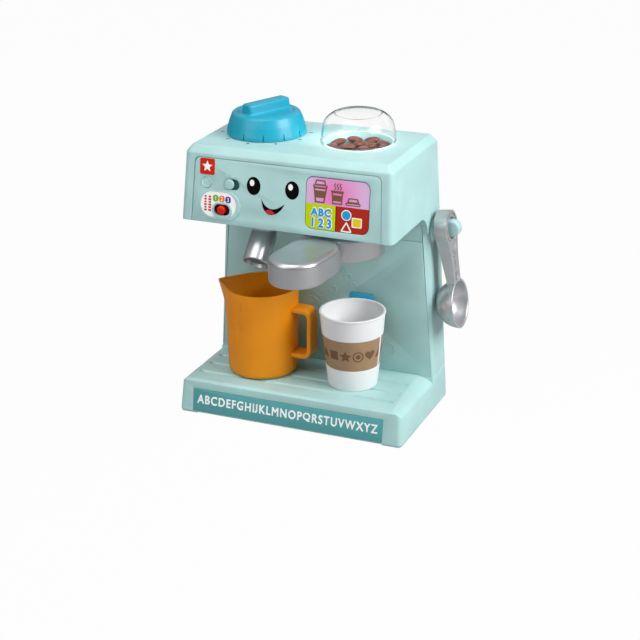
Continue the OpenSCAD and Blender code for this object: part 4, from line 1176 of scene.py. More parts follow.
    def upper_shell(self) -> None:
        """Builds the shell of the head and the column as one moulding, the marks cut into its deck, and dark
        teal plates down in them as painted shade.
        """
        wall, curve, depth = M.wall, self.arc(0), self.tick_size[2]
        behind, front, top = M.column_y + 3, M.head_front_y + wall, M.edge_z - 2 * wall
        shell = Form("upper_shell", self.head())
        shell.cut(Cut.JOIN, self.column(), self.across(
            [(behind, 174), (M.column_y + 0.1, 174), *curve[1:], (curve[-1][0], 194), (behind, 194)],
            lambda z: M.half_w(z) - 0.05))
        shell.cut(Cut.TAKE,
                  loft([level(self.plan(min(z, M.edge_z), inset), z) for z, inset in (
                      (188.0, wall), (M.edge_z - 2, wall), (M.deck_z - wall, wall + self.deck_in))]),
                  self.across([(34, 31), (80, 31), (80, top), (34, top)], lambda z: M.half_w(z) - wall),
                  self.across([(20, 31), (36, 31), (36, 194), (front, 194), (front, 180), (20, 180)],
                              self.window),
                  prism(self.panel(0, M.head_z - 3), -6, 6, M.on_head),
                  rod(6.3, 240, 262, M.dial), rod(33.3, 240, 262, M.dome, 96),
                  self.ticks(0, M.deck_z - depth, M.deck_z + 1, Look.SHELL))
        shell.clean().soften(0.45).settle(Look.SHELL, "body_plastic", "body_shell")
        # Dark teal plates down in the deck marks: painted shade.
        marks = self.ticks(-0.1, M.deck_z - 0.6, M.deck_z - depth + 0.12, Look.PAINTED_SHADE_TEAL)
        Form("dial_mark_shade", marks).settle(Look.PAINTED_SHADE_TEAL, "body_plastic")

    def front_panel(self) -> None:
        """Builds the panel across the head's front with its openings."""
        plate = Form("front_panel_plate", prism(self.panel(self.gap, M.head_z), -M.wall, 0.0, M.on_head))
        for hole in (box2(*M.screen, 59.8, 46.0, 6.7), circle(*M.button, 5.25),
                     box2(*M.stage_slot, 15.6, 9.6, 4.6)):
            plate.cut(Cut.TAKE, prism(hole, -4, 3, M.on_head))
        plate.cut(Cut.TAKE, prism(box2(*M.switch_slot, 14.8, 9.8, 4.8), -2.1, 3, M.on_head))
        plate.clean().soften(0.5, 3).settle(Look.SHELL, "body_plastic", "front_panel")

    def ceiling(self) -> None:
        """Builds the bay's ceiling with the hollow curve down to the column."""
        front, low = M.head_front_y + M.wall + self.gap, M.seam_z + 0.2
        outline = [(M.column_y, low), *self.arc(0), (front, M.head_z), (front, M.head_z + M.wall),
                   *self.arc(M.wall)[::-1], (M.column_y + M.wall, low)]
        ceiling = Form("bay_ceiling", self.across(outline, lambda z: self.window(z) - self.face_gap))
        ceiling.cut(Cut.TAKE, rod(8.2, 180, 200, M.portafilter), rod(6.2, 180, 200, M.spout))
        ceiling.soften(0.3).settle(Look.SHELL, "body_plastic", "head_underside")

    def column_face(self) -> None:
        """Builds the column's front with the cup button's window and the bubbles in relief."""
        foot, top = M.tray_h + 0.15, M.seam_z - 0.25
        low, high = self.window(foot) - self.face_gap, self.window(top) - self.face_gap
        face = Form("column_front_plate", prism([(-low, foot), (low, foot), (high, top), (-high, top)],
                                                -M.wall, 0.0, M.on_column))
        face.cut(Cut.TAKE, prism(box2(*M.cup_button, 25.1, 26.7, 3.1), -4, 2, M.on_column))
        face.soften(0.3).settle(Look.SHELL, "body_plastic", "column_front")
        dx, dz = self.relief_at
        drawings = [[circle(x, z, r), circle(x, z, r - 0.8)] for x, z, r in self.bubbles]
        drawings += [[stroke(wave(line), 0.9)] for line in self.curls]
        relief = [flat_shape(loops, -0.2, 0.35, lambda u, v, w: M.on_column(u + dx, v + dz, w))
                  for loops in drawings]
        Form("column_relief", merge(*relief)).soften(0.2).settle(Look.SHELL, "body_plastic")

    def pits(self, grow: float, low: float, high: float) -> Shape:
        """Builds a small block at both ends of each groove, grown by a distance, between two heights."""
        w, d = (size + grow for size in self.pit_size)
        return merge(*[prism(box2(x, y - 0.2, w, d, 0.5 + grow), low, high)
                       for x in self.pit_x for y in self.groove_y])

    def base_cover(self) -> None:
        """Builds the base with the drip tray, its grooves, its side bevels and the seat of the letter strip,
        and dark teal plates in the grooves' pits as painted shade.
        """
        top, r = M.tray_h, self.base_r
        edge = rounded([(1.2, 0.8, 0), (0, 3.0, 0.8), (0, top - 1.8, 1.2), (1.8, top, 1.2), (8, top, 0)],
                       closed=False)
        loops = []
        for inset, z in edge:
            half, front, back = M.half_w(z) - inset * 0.4, M.base_front(z) + inset, M.back_at(z) - inset * 0.2
            loops.append(level(rounded([(-half, front, r), (half, front, r), (half, back, self.back_r),
                                        (-half, back, self.back_r)], steps=8), z))
        base = Form("base_cover", loft(loops))
        base.cut(Cut.TAKE, *[bevel.cutter() for bevel in self.bevels])
        hollow = [level(box2(0, (M.base_front(z) + M.back_at(z)) / 2, 2 * (M.half_w(z) - M.wall - inset),
                             M.back_at(z) - M.base_front(z) - 2 * M.wall - inset, 4), z)
                  for z, inset in ((-2.0, 0.0), (22.0, 0.0), (top - M.wall, 10.0))]
        w, h = self.strip_size
        seat = prism(box2(*self.strip, w + 0.4, h + 0.4, 1.2), -self.strip_depth, 3, M.on_base)
        groove = loft([level(box2(self.groove_x, 0, 2 * (self.groove_end - d), self.groove_w - 2 * d), z)
                       for z, d in ((top - self.groove_depth, 1.5), (top + 0.4, 0))])
        first, second, _ = self.groove_y
        grooves = RowPattern("groove_row", Look.SHELL).grow(
            shifted(groove, 0, first, 0), Count=len(self.groove_y), Step=(0.0, second - first, 0.0))
        slot = prism(box2(0, 0.3, 186, 3.4, 1.4), -6, 6, M.on_base)
        base.cut(Cut.TAKE, loft(hollow), seat, grooves, slot, self.pits(0, top - 1.9, top + 1))
        base.clean().soften(0.45, angle=42).settle(Look.SHELL, "body_plastic", "base_shell")
        # Dark teal plates down in the pits: painted shade.
        Form("tray_pit_shade", self.pits(-0.1, top - 2.1, top - 1.5)).settle(Look.PAINTED_SHADE_TEAL, "body_plastic")

    def letter_strip(self) -> None:
        """Builds the teal strip with the alphabet."""
        strip = prism(box2(*self.strip, *self.strip_size, 1.2), -self.strip_depth, 0.0, M.on_base)
        Form("letter_strip_plate", strip).soften(0.25).settle(Look.STRIP, "teal_strip", "letter_strip")
        letters = Letters(11.3, 0.28, 1.2, 0.842).write("ABCDEFGHIJKLMNOPQRSTUVWXYZ", -2.4, 11.1, -0.05, 0.1,
                                                        M.on_base)
        Form("alphabet", letters).settle(Look.PRINT_WHITE, "white_label")

    def build(self) -> None:
        """Builds every piece of the housing."""
        self.upper_shell()
        self.front_panel()
        self.ceiling()
        self.column_face()
        self.base_cover()
        self.letter_strip()


# ---------------------------------------------------------------- front controls


@dataclass
class FrontControls:
    """The tag, the button, the switches, the stage label, the face and the picture screen."""

    tag: Point2 = (-76.0, 241.5)
    switch: Point2 = (-54.4, 227.5)
    label: Point2 = (-62.9, 207.8)
    knob_shift: float = -0.2
    badge: Point2 = (-67.1, 214.1)
    badge_step: Point2 = (6.05, -0.2)
    bar_columns: tuple[Point2, ...] = ((-77.1, 2.5), (-72.9, 3.0))
    eyes: tuple[tuple[str, float], ...] = (("left", -30.6), ("right", 6.3))
    eye_z: float = 228.8
    screen_size: Point2 = (59.4, 45.6)
    screen_rim: float = 0.35
    tile_r: float = 6.2
    divider: Point2 = (47.9, 219.7)
    lens_out: float = -0.55
    text_x: float = 34.3
    round_mark: Point2 = (57.7, 212.7)
    square_mark: Point2 = (67.6, 207.1)
    steam_x: Point3 = (46.1, 48.7, 51.3)

    def plate(self, name: str, loops: Sequence[Loop], low: float, high: float, look: Look, slot: str,
              *stands_for: str, soft: float = 0.0) -> None:
        """Makes one thin piece on the head front.

        Args:
            name: The piece's name.
            loops: Its outlines.
            low: Its underside over the panel.
            high: Its top over the panel.
            look: Its finish.
            slot: The record's material slot.
            *stands_for: CAD nodes that it is shown for.
            soft: Size of its rounded edge.
        """
        form = Form(name, flat_shape(loops, low, high, M.on_head))
        if soft:
            form.soften(soft, 3)
        form.settle(look, slot, *stands_for)

    def turned(self, name: str, profile: Loop, centre: Point2, body: str, look: Look, slot: str,
               node: str) -> None:
        """Makes one round piece that stands out of the head front.

        Args:
            name: The piece's name.
            profile: Radius and reach of each point.
            centre: Where it sits on the front.
            body: The moving body it rides on.
            look: Its finish.
            slot: The record's material slot.
            node: The CAD node that it is shown for.
        """
        x, z = centre
        shape = moved(lathe(profile, count=48), lambda u, v, w: M.on_head(x + u, z + v, w))
        Form(name, shape).settle(look, slot, node, body=body)

    def tag_and_button(self) -> None:
        """Builds the plain red tag with a star, and the round button in its ring."""
        self.plate("corner_tag_plate", [box2(*self.tag, 14.4, 14.4, 1.6)], -0.25, 0.3, Look.RED_PRINT,
                   "red_label", "corner_tag", soft=0.15)
        self.plate("tag_star", [star(*self.tag, 5.2, 2.3)], 0.25, 0.38, Look.PRINT_WHITE, "white_label")
        face = [(0, 0.1), (4.0, 0.1), (4.3, 0.55), (4.75, 0.65), (5.0, 0.3), (5.0, -3.0), (0, -3.0)]
        self.turned("round_button_cap", face, M.button, "round_push_button", Look.SHELL, "button_plastic",
                    "round_button")

    def power_switch(self) -> None:
        """Builds the sliding power switch, a dark teal plate in its recess as painted shade, and the marks over
        it.
        """
        face = rounded([(0, 1.2, 0), (4.6, 1.2, 1.0), (4.6, -1.0, 0), (0, -1.0, 0)])
        self.turned("power_switch_knob", face, self.switch, "power_slide_knob", Look.SHELL, "button_plastic",
                    "power_switch")
        # Dark teal plate down in the switch's recess: painted shade.
        self.plate("switch_recess_shade", [box2(*M.switch_slot, 14.5, 9.5, 4.6)], -2.3, -1.9, Look.PAINTED_SHADE_TEAL,
                   "body_plastic")
        marks = [box2(x, 234.4, 2.7, 1.3, 0.5) for x in (-56.8, -51.6, -46.4)]
        self.plate("switch_marks", marks, -0.2, 0.5, Look.SHELL, "body_plastic", soft=0.2)

    def stage_label(self) -> None:
        """Builds the white label, its number badges, the slot's collar, a dark plate in the slot as painted
        shade, and the red slider.
        """
        x, z = self.label
        sx, sz = M.stage_slot
        inner = box2(x - 1.3, z + 0.9, 34.8, 22.4, 11.0)
        collar = box2(sx + 0.4, sz - 0.5, 19.8, 15.2, 7.3)
        self.plate("label_rim", [box2(x, z, 39.8, 25.8, 12.6), inner], -0.2, 0.55, Look.SHELL, "body_plastic",
                   soft=0.25)
        white = Form("stage_label_plate", flat_shape([inner], -0.1, 0.25, M.on_head))
        white.cut(Cut.TAKE, prism(collar, -2, 2, M.on_head))
        white.settle(Look.PRINT_WHITE, "white_label", "stage_label")
        self.plate("slot_lip", [collar, box2(sx, sz, 15.6, 9.6, 4.7)], -2.3, 0.9, Look.SHELL, "body_plastic",
                   soft=0.6)
        # Dark plate down in the slider's slot: painted shade.
        self.plate("slot_floor_shade", [box2(sx, sz, 15.4, 9.4, 4.6)], -2.2, -1.6, Look.DARK, "slider_plastic")
        for k, look in enumerate((Look.BADGE_GREEN, Look.BADGE_ORANGE, Look.BADGE_PURPLE)):
            bx, bz = (start + k * step for start, step in zip(self.badge, self.badge_step))
            self.plate(f"badge_{k + 1}", [box2(bx, bz, 5.4, 6.0, 2.2)], 0.2, 0.36, look, "white_label")
            digit = Letters(5.2, 0.12).write(str(k + 1), bx, bz - 1.75, 0.3, 0.46, M.on_head)
            Form(f"badge_number_{k + 1}", digit).settle(Look.PRINT_WHITE, "white_label")
        bars = [box2(bx, 202.8 + 2.42 * k, wide - 0.5 * (k % 2), 1.55, 0.4) for bx, wide in self.bar_columns
                for k in range(6)]
        self.plate("label_bars", bars, 0.2, 0.36, Look.RED_PRINT, "red_label")
        knob = rounded([(0, 3.0, 0), (3.9, 3.0, 2.4), (4.05, -1.2, 0), (0, -1.2, 0)])
        self.turned("stage_slider_knob", knob, (sx + self.knob_shift, sz), "stage_slide_knob", Look.RED_KNOB,
                    "slider_plastic", "stage_slider")

    def face(self) -> None:
        """Prints a plain smiling face: two oval eyes with a glint, a mouth and a tongue."""
        ink, glint = (-0.05, 0.1), (0.08, 0.16)
        for name, x in self.eyes:
            self.plate(f"eye_{name}", [oval(x, self.eye_z, 6.6, 8.0)], *ink, Look.BLACK_PRINT, "white_label")
            self.plate(f"glint_{name}", [oval(x - 1.5, self.eye_z + 2.6, 2.2, 2.8)], *glint, Look.PRINT_WHITE,
                       "white_label")
        upper = wave([(-23.0, 218.6), (-19.6, 213.4), (-14.2, 210.4), (-7.6, 211.2), (0.0, 215.9)])
        lower = wave([(0.0, 215.9), (-4.4, 209.6), (-10.2, 205.6), (-16.0, 205.4), (-20.6, 209.8),
                      (-23.0, 218.6)])
        self.plate("mouth", [[*upper, *lower[1:-1]]], *ink, Look.BLACK_PRINT, "white_label")
        tongue = [*wave([(-19.3, 207.6), (-16.4, 209.3), (-12.6, 208.9), (-9.4, 206.4)]),
                  *wave([(-9.4, 206.4), (-12.8, 205.5), (-16.2, 205.9), (-19.3, 207.6)])[1:-1]]
        self.plate("tongue", [tongue], *glint, Look.TONGUE, "red_label")

    def tall_cup(self) -> list[list[Point2]]:
        """Draws the tall cup: walls, windows, rim and lid.

        Returns:
            The outlines.
        """
        return [[(27.9, 220.9), (36.9, 220.9), (38.9, 233.9), (26.3, 233.9)],
                [(29.2, 222.1), (35.7, 222.1), (36.2, 225.3), (28.7, 225.3)],
                [(27.9, 231.5), (37.3, 231.5), (37.5, 233.0), (27.7, 233.0)],
                rounded([(25.7, 234.0, 0.4), (39.4, 234.0, 0.4), (39.2, 236.3, 0.6), (25.9, 236.3, 0.6)]),
                rounded([(27.0, 236.35, 0), (38.0, 236.35, 0), (36.9, 240.8, 0.8), (28.3, 240.8, 0.8)]),
                [(27.1, 234.75), (38.0, 234.75), (37.9, 235.6), (27.2, 235.6)],
                [(28.4, 237.2), (36.6, 237.2), (35.9, 239.6), (29.2, 239.6)]]

    def steaming_cup(self) -> list[list[Point2]]:
        """Draws the middle cup with three wisps of steam.

        Returns:
            The outlines.
        """
        wisps = [stroke(wave([(x, 234.0), (x + 0.9, 235.6), (x - 0.5, 237.3), (x + 0.5, 239.0)]), 0.9)
                 for x in self.steam_x]
        return [[(44.1, 221.1), (53.2, 221.1), (54.0, 231.55), (43.2, 231.55)],
                taper(48.65, 222.2, 224.0, 6.9, 7.3), taper(48.6, 229.0, 230.7, 8.0, 8.4),
                box2(48.6, 232.25, 12.0, 1.35, 0.5), *wisps]

    def loose_lid(self) -> list[list[Point2]]:
        """Draws the lid.

        Returns:
            The outlines.
        """
        cap = rounded([(57.7, 223.85, 0.3), (69.3, 223.85, 0.3), (67.9, 227.9, 0.9), (59.1, 227.9, 0.9)])
        return [box2(63.4, 222.5, 13.8, 2.6, 0.8), box2(63.4, 222.5, 11.8, 0.9, 0.3), cap,
                [(59.3, 224.8), (67.7, 224.8), (66.8, 226.9), (60.2, 226.9)]]

    def picture_screen(self) -> None:
        """Builds the screen: the pink film with cups, the lime tile with letters, the red tile with shapes, and
        dark plates round the tiles and between the lime and red tiles as painted shade.
        """
        (x, z), (w, h), (dx, dz), r, base = M.screen, self.screen_size, self.divider, self.tile_r, self.lens_out
        left, right, low, high = (c + side * (size / 2 - self.screen_rim)
                                  for c, size in ((x, w), (z, h)) for side in (-1, 1))
        lens = "picture_lens"
        # A dark plate under the tiles that shows as a thin border round them: painted shade in the gap round
        # the lens.
        self.plate("screen_gap_shade", [box2(x, z, w, h, 6.5)], base - 0.9, base - 0.1, Look.DARK, lens,
                   "screen_lens")
        for name, look, corners in (
                ("screen_film", Look.FILM, [(left, dz, 0), (right, dz, 0), (right, high, r), (left, high, r)]),
                ("screen_lime", Look.TILE_LIME, [(left, low, r), (dx, low, 0), (dx, dz, 0), (left, dz, 0)]),
                ("screen_red", Look.TILE_RED, [(dx, low, 0), (right, low, r), (right, dz, 0), (dx, dz, 0)])):
            self.plate(name, [rounded(corners)], base - 0.2, base, look, lens)
        for name, drawing in (("cup_picture_tall", self.tall_cup()), ("cup_picture_steam", self.steaming_cup()),
                              ("lid_picture", self.loose_lid())):
            self.plate(name, drawing, base - 0.05, base + 0.09, Look.BROWN_PRINT, lens)
        for text, size, foot, space in (("ABC", 8.9, 209.8, 1.16), ("123", 10.8, 199.8, 1.42)):
            for name, weight, rise, thick, look in (("outline", 1.15, 0.0, 0.08, Look.PRINT_WHITE),
                                                    ("letters", 0.42, 0.3, 0.12, Look.BLUE_PRINT)):
                shape = Letters(size, weight, space).write(text, self.text_x, foot, base + rise,
                                                           base + rise + thick, M.on_head)
                Form(f"{name}_{text}", shape).settle(look, lens)
        triangle = rounded([(52.4, 197.9, 0.9), (63.6, 197.9, 0.9), (58.0, 207.5, 0.9)])
        hollow = rounded([(54.3, 199.0, 0.3), (61.7, 199.0, 0.3), (58.0, 205.3, 0.3)])
        outlines = [circle(*self.round_mark, 4.7), box2(*self.square_mark, 9.4, 8.6, 1.0), triangle, hollow]
        for name, loops, under, top, look in (
                ("shape_outlines", outlines, 0.0, 0.08, Look.PRINT_WHITE),
                ("shape_circle", [circle(*self.round_mark, 3.9)], 0.05, 0.16, Look.BLUE_PRINT),
                ("shape_square", [box2(*self.square_mark, 7.6, 6.8, 0.4)], 0.05, 0.16, Look.YELLOW_PRINT),
                # Dark strip between the lime and the red tile: painted shade.
                ("tile_gap_shade", [box2(dx, (low + dz) / 2, 0.7, dz - low)], -0.1, 0.03, Look.DARK)):
            self.plate(name, loops, base + under, base + top, look, lens)

    def build(self) -> None:
        """Builds every piece of the head front."""
        self.tag_and_button()
        self.power_switch()
        self.stage_label()
        self.face()
        self.picture_screen()


# ---------------------------------------------------------------- deck


@dataclass
class Dial:
    """The cyan dial with its grip bar, its skirt slits and its shaft."""

    skirt_r: float = 36.3
    skirt_z: float = 259.5
    rim_z: float = 279.8
    dish_z: float = 278.8
    bar: Point2 = (48.0, 14.0)
    bar_top: float = 288.5
    angle: float = 65.0
    slit_count: int = 12
    slit_start: float = 80.0

    def cap(self) -> Shape:
        """Builds the turned cap with its shaft.

        Returns:
            The cap.
        """
        dish, rim, skirt, foot = self.dish_z, self.rim_z, self.skirt_r, self.skirt_z
        return lathe(rounded([
            (0, 236.1, 0), (6, 236.1, 0.4), (6, dish - 2.4, 0), (25.5, dish - 2.4, 1), (31.0, 270.5, 3),
            (33.9, foot, 0), (skirt, foot, 0.4), (skirt - 0.15, 262.4, 1.0), (33.8, 270.8, 10),
            (30.6, rim - 0.7, 7.5), (25.8, rim, 1.5), (24.4, dish, 1.2), (0, dish, 0)], steps=7), M.dial)

    def grip(self) -> Shape:
        """Builds the grip bar with a flared root and rounded edges.

        Returns:
            The bar.
        """
        length, width = self.bar
        root, top = self.dish_z, self.bar_top
        line = rounded([(-3.2, root - 0.6, 0), (-2.6, root + 0.1, 0.4), (0.0, root + 0.9, 2.6),
                        (0.75, top, 2.4), (4.5, top, 0)], closed=False)
        return loft([level(swung(box2(0, 0, length - 2 * inset, width - 2 * inset, max(0.6, 3.0 - 0.6 * inset)),
                                 self.angle, M.dial), z) for inset, z in line])

    def build(self) -> None:
        """Builds the dial."""
        dial = Form("dial_knob", self.cap())
        slits = RingPattern("slit_ring", Look.DIAL).grow(
            prism(box2(0.2, 0, 3.4, 1.1), 259.0, 265.2), Count=self.slit_count, Radius=self.skirt_r,
            Start=math.radians(self.slit_start), Centre=(*M.dial, 0.0))
        dial.cut(Cut.TAKE, slits).cut(Cut.JOIN, self.grip())
        dial.settle(Look.DIAL, "dial_plastic", "dial", body="dial_knob", smooth=38)


@dataclass
class Dome:
    """The clear dome with the beans under it."""

    wall: float = 1.6
    bean_size: Point3 = (7.8, 5.4, 3.0)
    bean_z: float = 250.95
    ring_count: int = 9
    ring_r: float = 23.6
    ring_turn: float = 84.0
    tumble: Point3 = (0.22, 0.16, 0.5)
    middle: tuple[Point3, ...] = ((-9.0, -4.0, 30), (7.5, -7.0, 100), (-1.0, 8.5, 10), (9.0, 6.5, 60))

    def shell(self) -> None:
        """Builds the clear shell as one closed turned form."""
        outer = wave([(34.0, 260.9), (33.4, 265.0), (32.9, 269.0), (31.8, 275.0), (29.6, 279.3), (26.5, 282.6),
                      (22.5, 285.2), (17.0, 287.0), (9.0, 288.1), (0.0, 288.4)], 5)
        inner = [(max(0.0, r - self.wall * min(1.0, r / 20)), z - self.wall * (1 if r < 22 else 0.35))
                 for r, z in outer if z > 262]
        outline = [(34.3, 259.5), (34.3, 260.4), *outer, *inner[::-1], (31.9, 259.5)]
        Form("bean_dome", lathe(outline, M.dome)).settle(Look.CLEAR, "clear_plastic", "dome", smooth=50)

    def bean(self, turn: float) -> Shape:
        """Builds one bean: an egg form with a crease along its top.

        Args:
            turn: How far it is turned, in degrees.

        Returns:
            The bean.
        """
        bm = bmesh.new()
        bmesh.ops.create_uvsphere(bm, u_segments=36, v_segments=20, radius=1.0)
        a, b, c = self.bean_size
        for point in bm.verts:
            x, y, z = point.co
            crease = math.exp(-(y / 0.13) ** 2) * 0.30 * max(0.0, z) * (1 - 0.5 * x * x)
            bend = 0.06 * math.sin(2.4 * x)
            point.co = (a * x, b * (y + bend) * (1 - 0.12 * x * x), c * (z - crease) + c)
        return turned(bm, turn)

    def beans(self) -> None:
        """Scatters the beans on the turntable."""
        x, y = M.dome
        ring = RingPattern("bean_ring", Look.BEAN).grow(
            self.bean(self.ring_turn), Count=self.ring_count, Radius=self.ring_r, Start=math.radians(200),
            Centre=(x, y, self.bean_z + 0.35), Tumble=self.tumble, Seed=4)
        middle = [shifted(self.bean(turn), x + dx, y + dy, self.bean_z + 0.1) for dx, dy, turn in self.middle]
        Form("coffee_beans_loose", merge(ring, *middle)).settle(Look.BEAN, "bean_plastic", "coffee_beans",
                                                                body="bean_turntable", smooth=60)

    def build(self) -> None:
        """Builds the dome and the beans."""
        self.shell()
        self.beans()


# ---------------------------------------------------------------- bay


@dataclass
class SteamSpout:
    """The short steam spout with its tilted nozzle."""

    z: float = 176.5
    r: float = 10.5
    tilt: float = 44.0
    length: float = 30.0

    def nozzle_point(self, x: float, y: float, z: float) -> Point3:
        """Turns a point of the upright nozzle into its tilted place.

        Args:
            x: Across.
            y: Depth.
            z: Height.

        Returns:
            The point in its place.
        """
        c, s = math.cos(math.radians(180 - self.tilt)), math.sin(math.radians(180 - self.tilt))
        return M.spout[0] + x, M.spout[1] + y * c - z * s, self.z + y * s + z * c

    def build(self) -> None:
        """Builds the arm with its pivot, and the nozzle with a dark disc in its mouth as painted shade."""
        z, r, end, top = self.z, self.r, self.length, M.pivot_top
        arm = rounded([(0, z - 9, 0), (6.4, z - 8.4, 3), (r, z - 2.5, 5), (r + 0.5, 191.0, 0.5),
                       (6.0, 191.0, 0), (6.0, top, 0), (0, top, 0)])
        nozzle = rounded([(0, -8.6, 0), (r - 0.8, -8.2, 6.5), (r + 1.5, 3.0, 7), (r + 1.5, end, 1.4),
                          (r - 0.3, end, 0.8), (r - 1.0, end - 3.5, 0.4), (0, end - 3.5, 0)])
        for name, shape, look, nodes, smooth in (
                ("spout_arm_body", lathe(arm, M.spout, 64), Look.SILVER, ["spout_arm"], 40),
                ("spout_nozzle_body", moved(lathe(nozzle, count=72), self.nozzle_point), Look.SILVER,
                 ["spout_nozzle"], 40),
                # Dark disc inside the nozzle: painted shade in its mouth.
                ("spout_mouth_shade", moved(rod(r - 1.1, end - 3.6, end - 3.3, count=64), self.nozzle_point),
                 Look.SILVER_DARK, [], 32)):
            Form(name, shape).settle(look, "silver_plastic", *nodes, body="steam_spout", smooth=smooth)


@dataclass
class Portafilter:
    """The drum under the head with its broad paddle-shaped handle."""

    r: float = 37.0
    low: float = 166.0
    high: float = 191.0
    paddle_r: float = 24.0
    paddle_tip: float = 111.0
    paddle_h: float = 22.5
    angle: float = 6.0
    round_count: int = 28

    def drum(self) -> Shape:
        """Builds the drum with its pivot and the hollow under it.

        Returns:
            The drum.
        """
        low, high, r, top = self.low, self.high, self.r, M.pivot_top
        return lathe(rounded([
            (0, low + 9, 0), (r - 4.5, low + 9, 2), (r - 3.6, low, 0.6), (r - 0.2, low, 1.4),
            (r, high - 5, 2.5), (r - 7, high, 1.5), (8, high, 0), (8, top, 0), (0, top, 0)]),
            M.portafilter, 128)

    def stadium(self, inset: float, z: float) -> list[Point3]:
        """Returns the handle's outline at a height.

        Args:
            inset: How much smaller it is drawn.
            z: Height over its underside.

        Returns:
            The outline in its place.
        """
        r, back, tip = self.paddle_r - inset, self.r + self.paddle_r - 3, self.paddle_tip - self.paddle_r
        flat = [on_ring(0, -y, r, start + math.pi * k / self.round_count)
                for y, start in ((tip, math.pi), (back, 0.0)) for k in range(self.round_count + 1)]
        return level(swung(flat, -self.angle, M.portafilter), self.low + z)

    def build(self) -> None:
        """Builds the drum and the handle, with its rolled upper edge, as one moulding."""
        high = self.paddle_h
        line = rounded([(6, 0, 0), (0.9, 0, 0.8), (0.2, 1.6, 1.2), (0.0, high, 6.4), (8.6, high, 0)],
                       closed=False, steps=9)
        line += [(9.6, high - 0.12), (10.8, high - 0.35)]
        handle = Form("portafilter_body", loft([self.stadium(inset, z) for inset, z in line]))
        handle.cut(Cut.TAKE, rod(self.r - 2, 150, 200, M.portafilter, 128)).cut(Cut.JOIN, self.drum())
        handle.settle(Look.SILVER, "silver_plastic", "portafilter", body="portafilter_handle", smooth=34)


@dataclass(frozen=True)
class Spring:
    """One coil spring: its names, the front it sits behind, its place there, its sizes and its travel."""

    name: str
    node: str
    joint: str
    front: Place
    centre: Point2
    lean: float
    start: float
    length: float
    travel: float
    r: float
    wire: float
    turns: int
    turn_steps: int = 20
    wire_steps: int = 8

    def place(self, u: float, v: float, w: float) -> Point3:
        """Turns a point of the upright coil into its place behind the front."""
        return self.front(self.centre[0] + u, self.centre[1] + v, -self.start - w)

    def build(self) -> None:
        """Winds the wire into a coil behind its button."""
        rings = []
        steps = self.turns * self.turn_steps
        for i in range(steps + 1):
            a = TURN * i / self.turn_steps
            rise = self.wire + (self.length - 2 * self.wire) * i / steps
            section = [on_ring(self.r, rise, self.wire, TURN * k / self.wire_steps)
                       for k in range(self.wire_steps)]
            rings.append([self.place(math.cos(a) * q, math.sin(a) * q, w) for q, w in section])
        thing = Form(self.name, loft(rings)).settle(Look.STEEL, "steel", self.node)
        far = Vector(self.place(0, 0, self.length)) * MM
        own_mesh(thing)


@dataclass
class CupButton:
    """The blue button behind the cup, and the springs behind both push buttons."""

    size: Point2 = (24.4, 26.0)
    springs: tuple[Spring, ...] = (
        Spring("cup_button_coil", "cup_button_spring", "cup_button_push", M.on_column, M.cup_button,
               lean=0.0, start=2.1, length=12.9, travel=4.0, r=7.0, wire=0.5, turns=6),
        Spring("round_button_coil", "round_button_spring", "round_button_push", M.on_head, M.button,
               lean=-M.panel_tilt, start=4.1, length=6.8, travel=1.5, r=3.0, wire=0.35, turns=5))

    def build(self) -> None:
        """Builds the button as a rounded plate with a hollow back, and the springs."""
        w, h = self.size
        form = Form("cup_button_cap", prism(box2(*M.cup_button, w, h, 2.8), -9.9, 0.4, M.on_column))
        form.cut(Cut.TAKE, prism(box2(*M.cup_button, w - 4, h - 4, 1.6), -12, -2, M.on_column))
        form.soften(0.6, 3).settle(Look.BUTTON, "button_plastic", "cup_button", body="cup_push_button")
        for spring in self.springs:
            spring.build()


# ---------------------------------------------------------------- hook and scoop


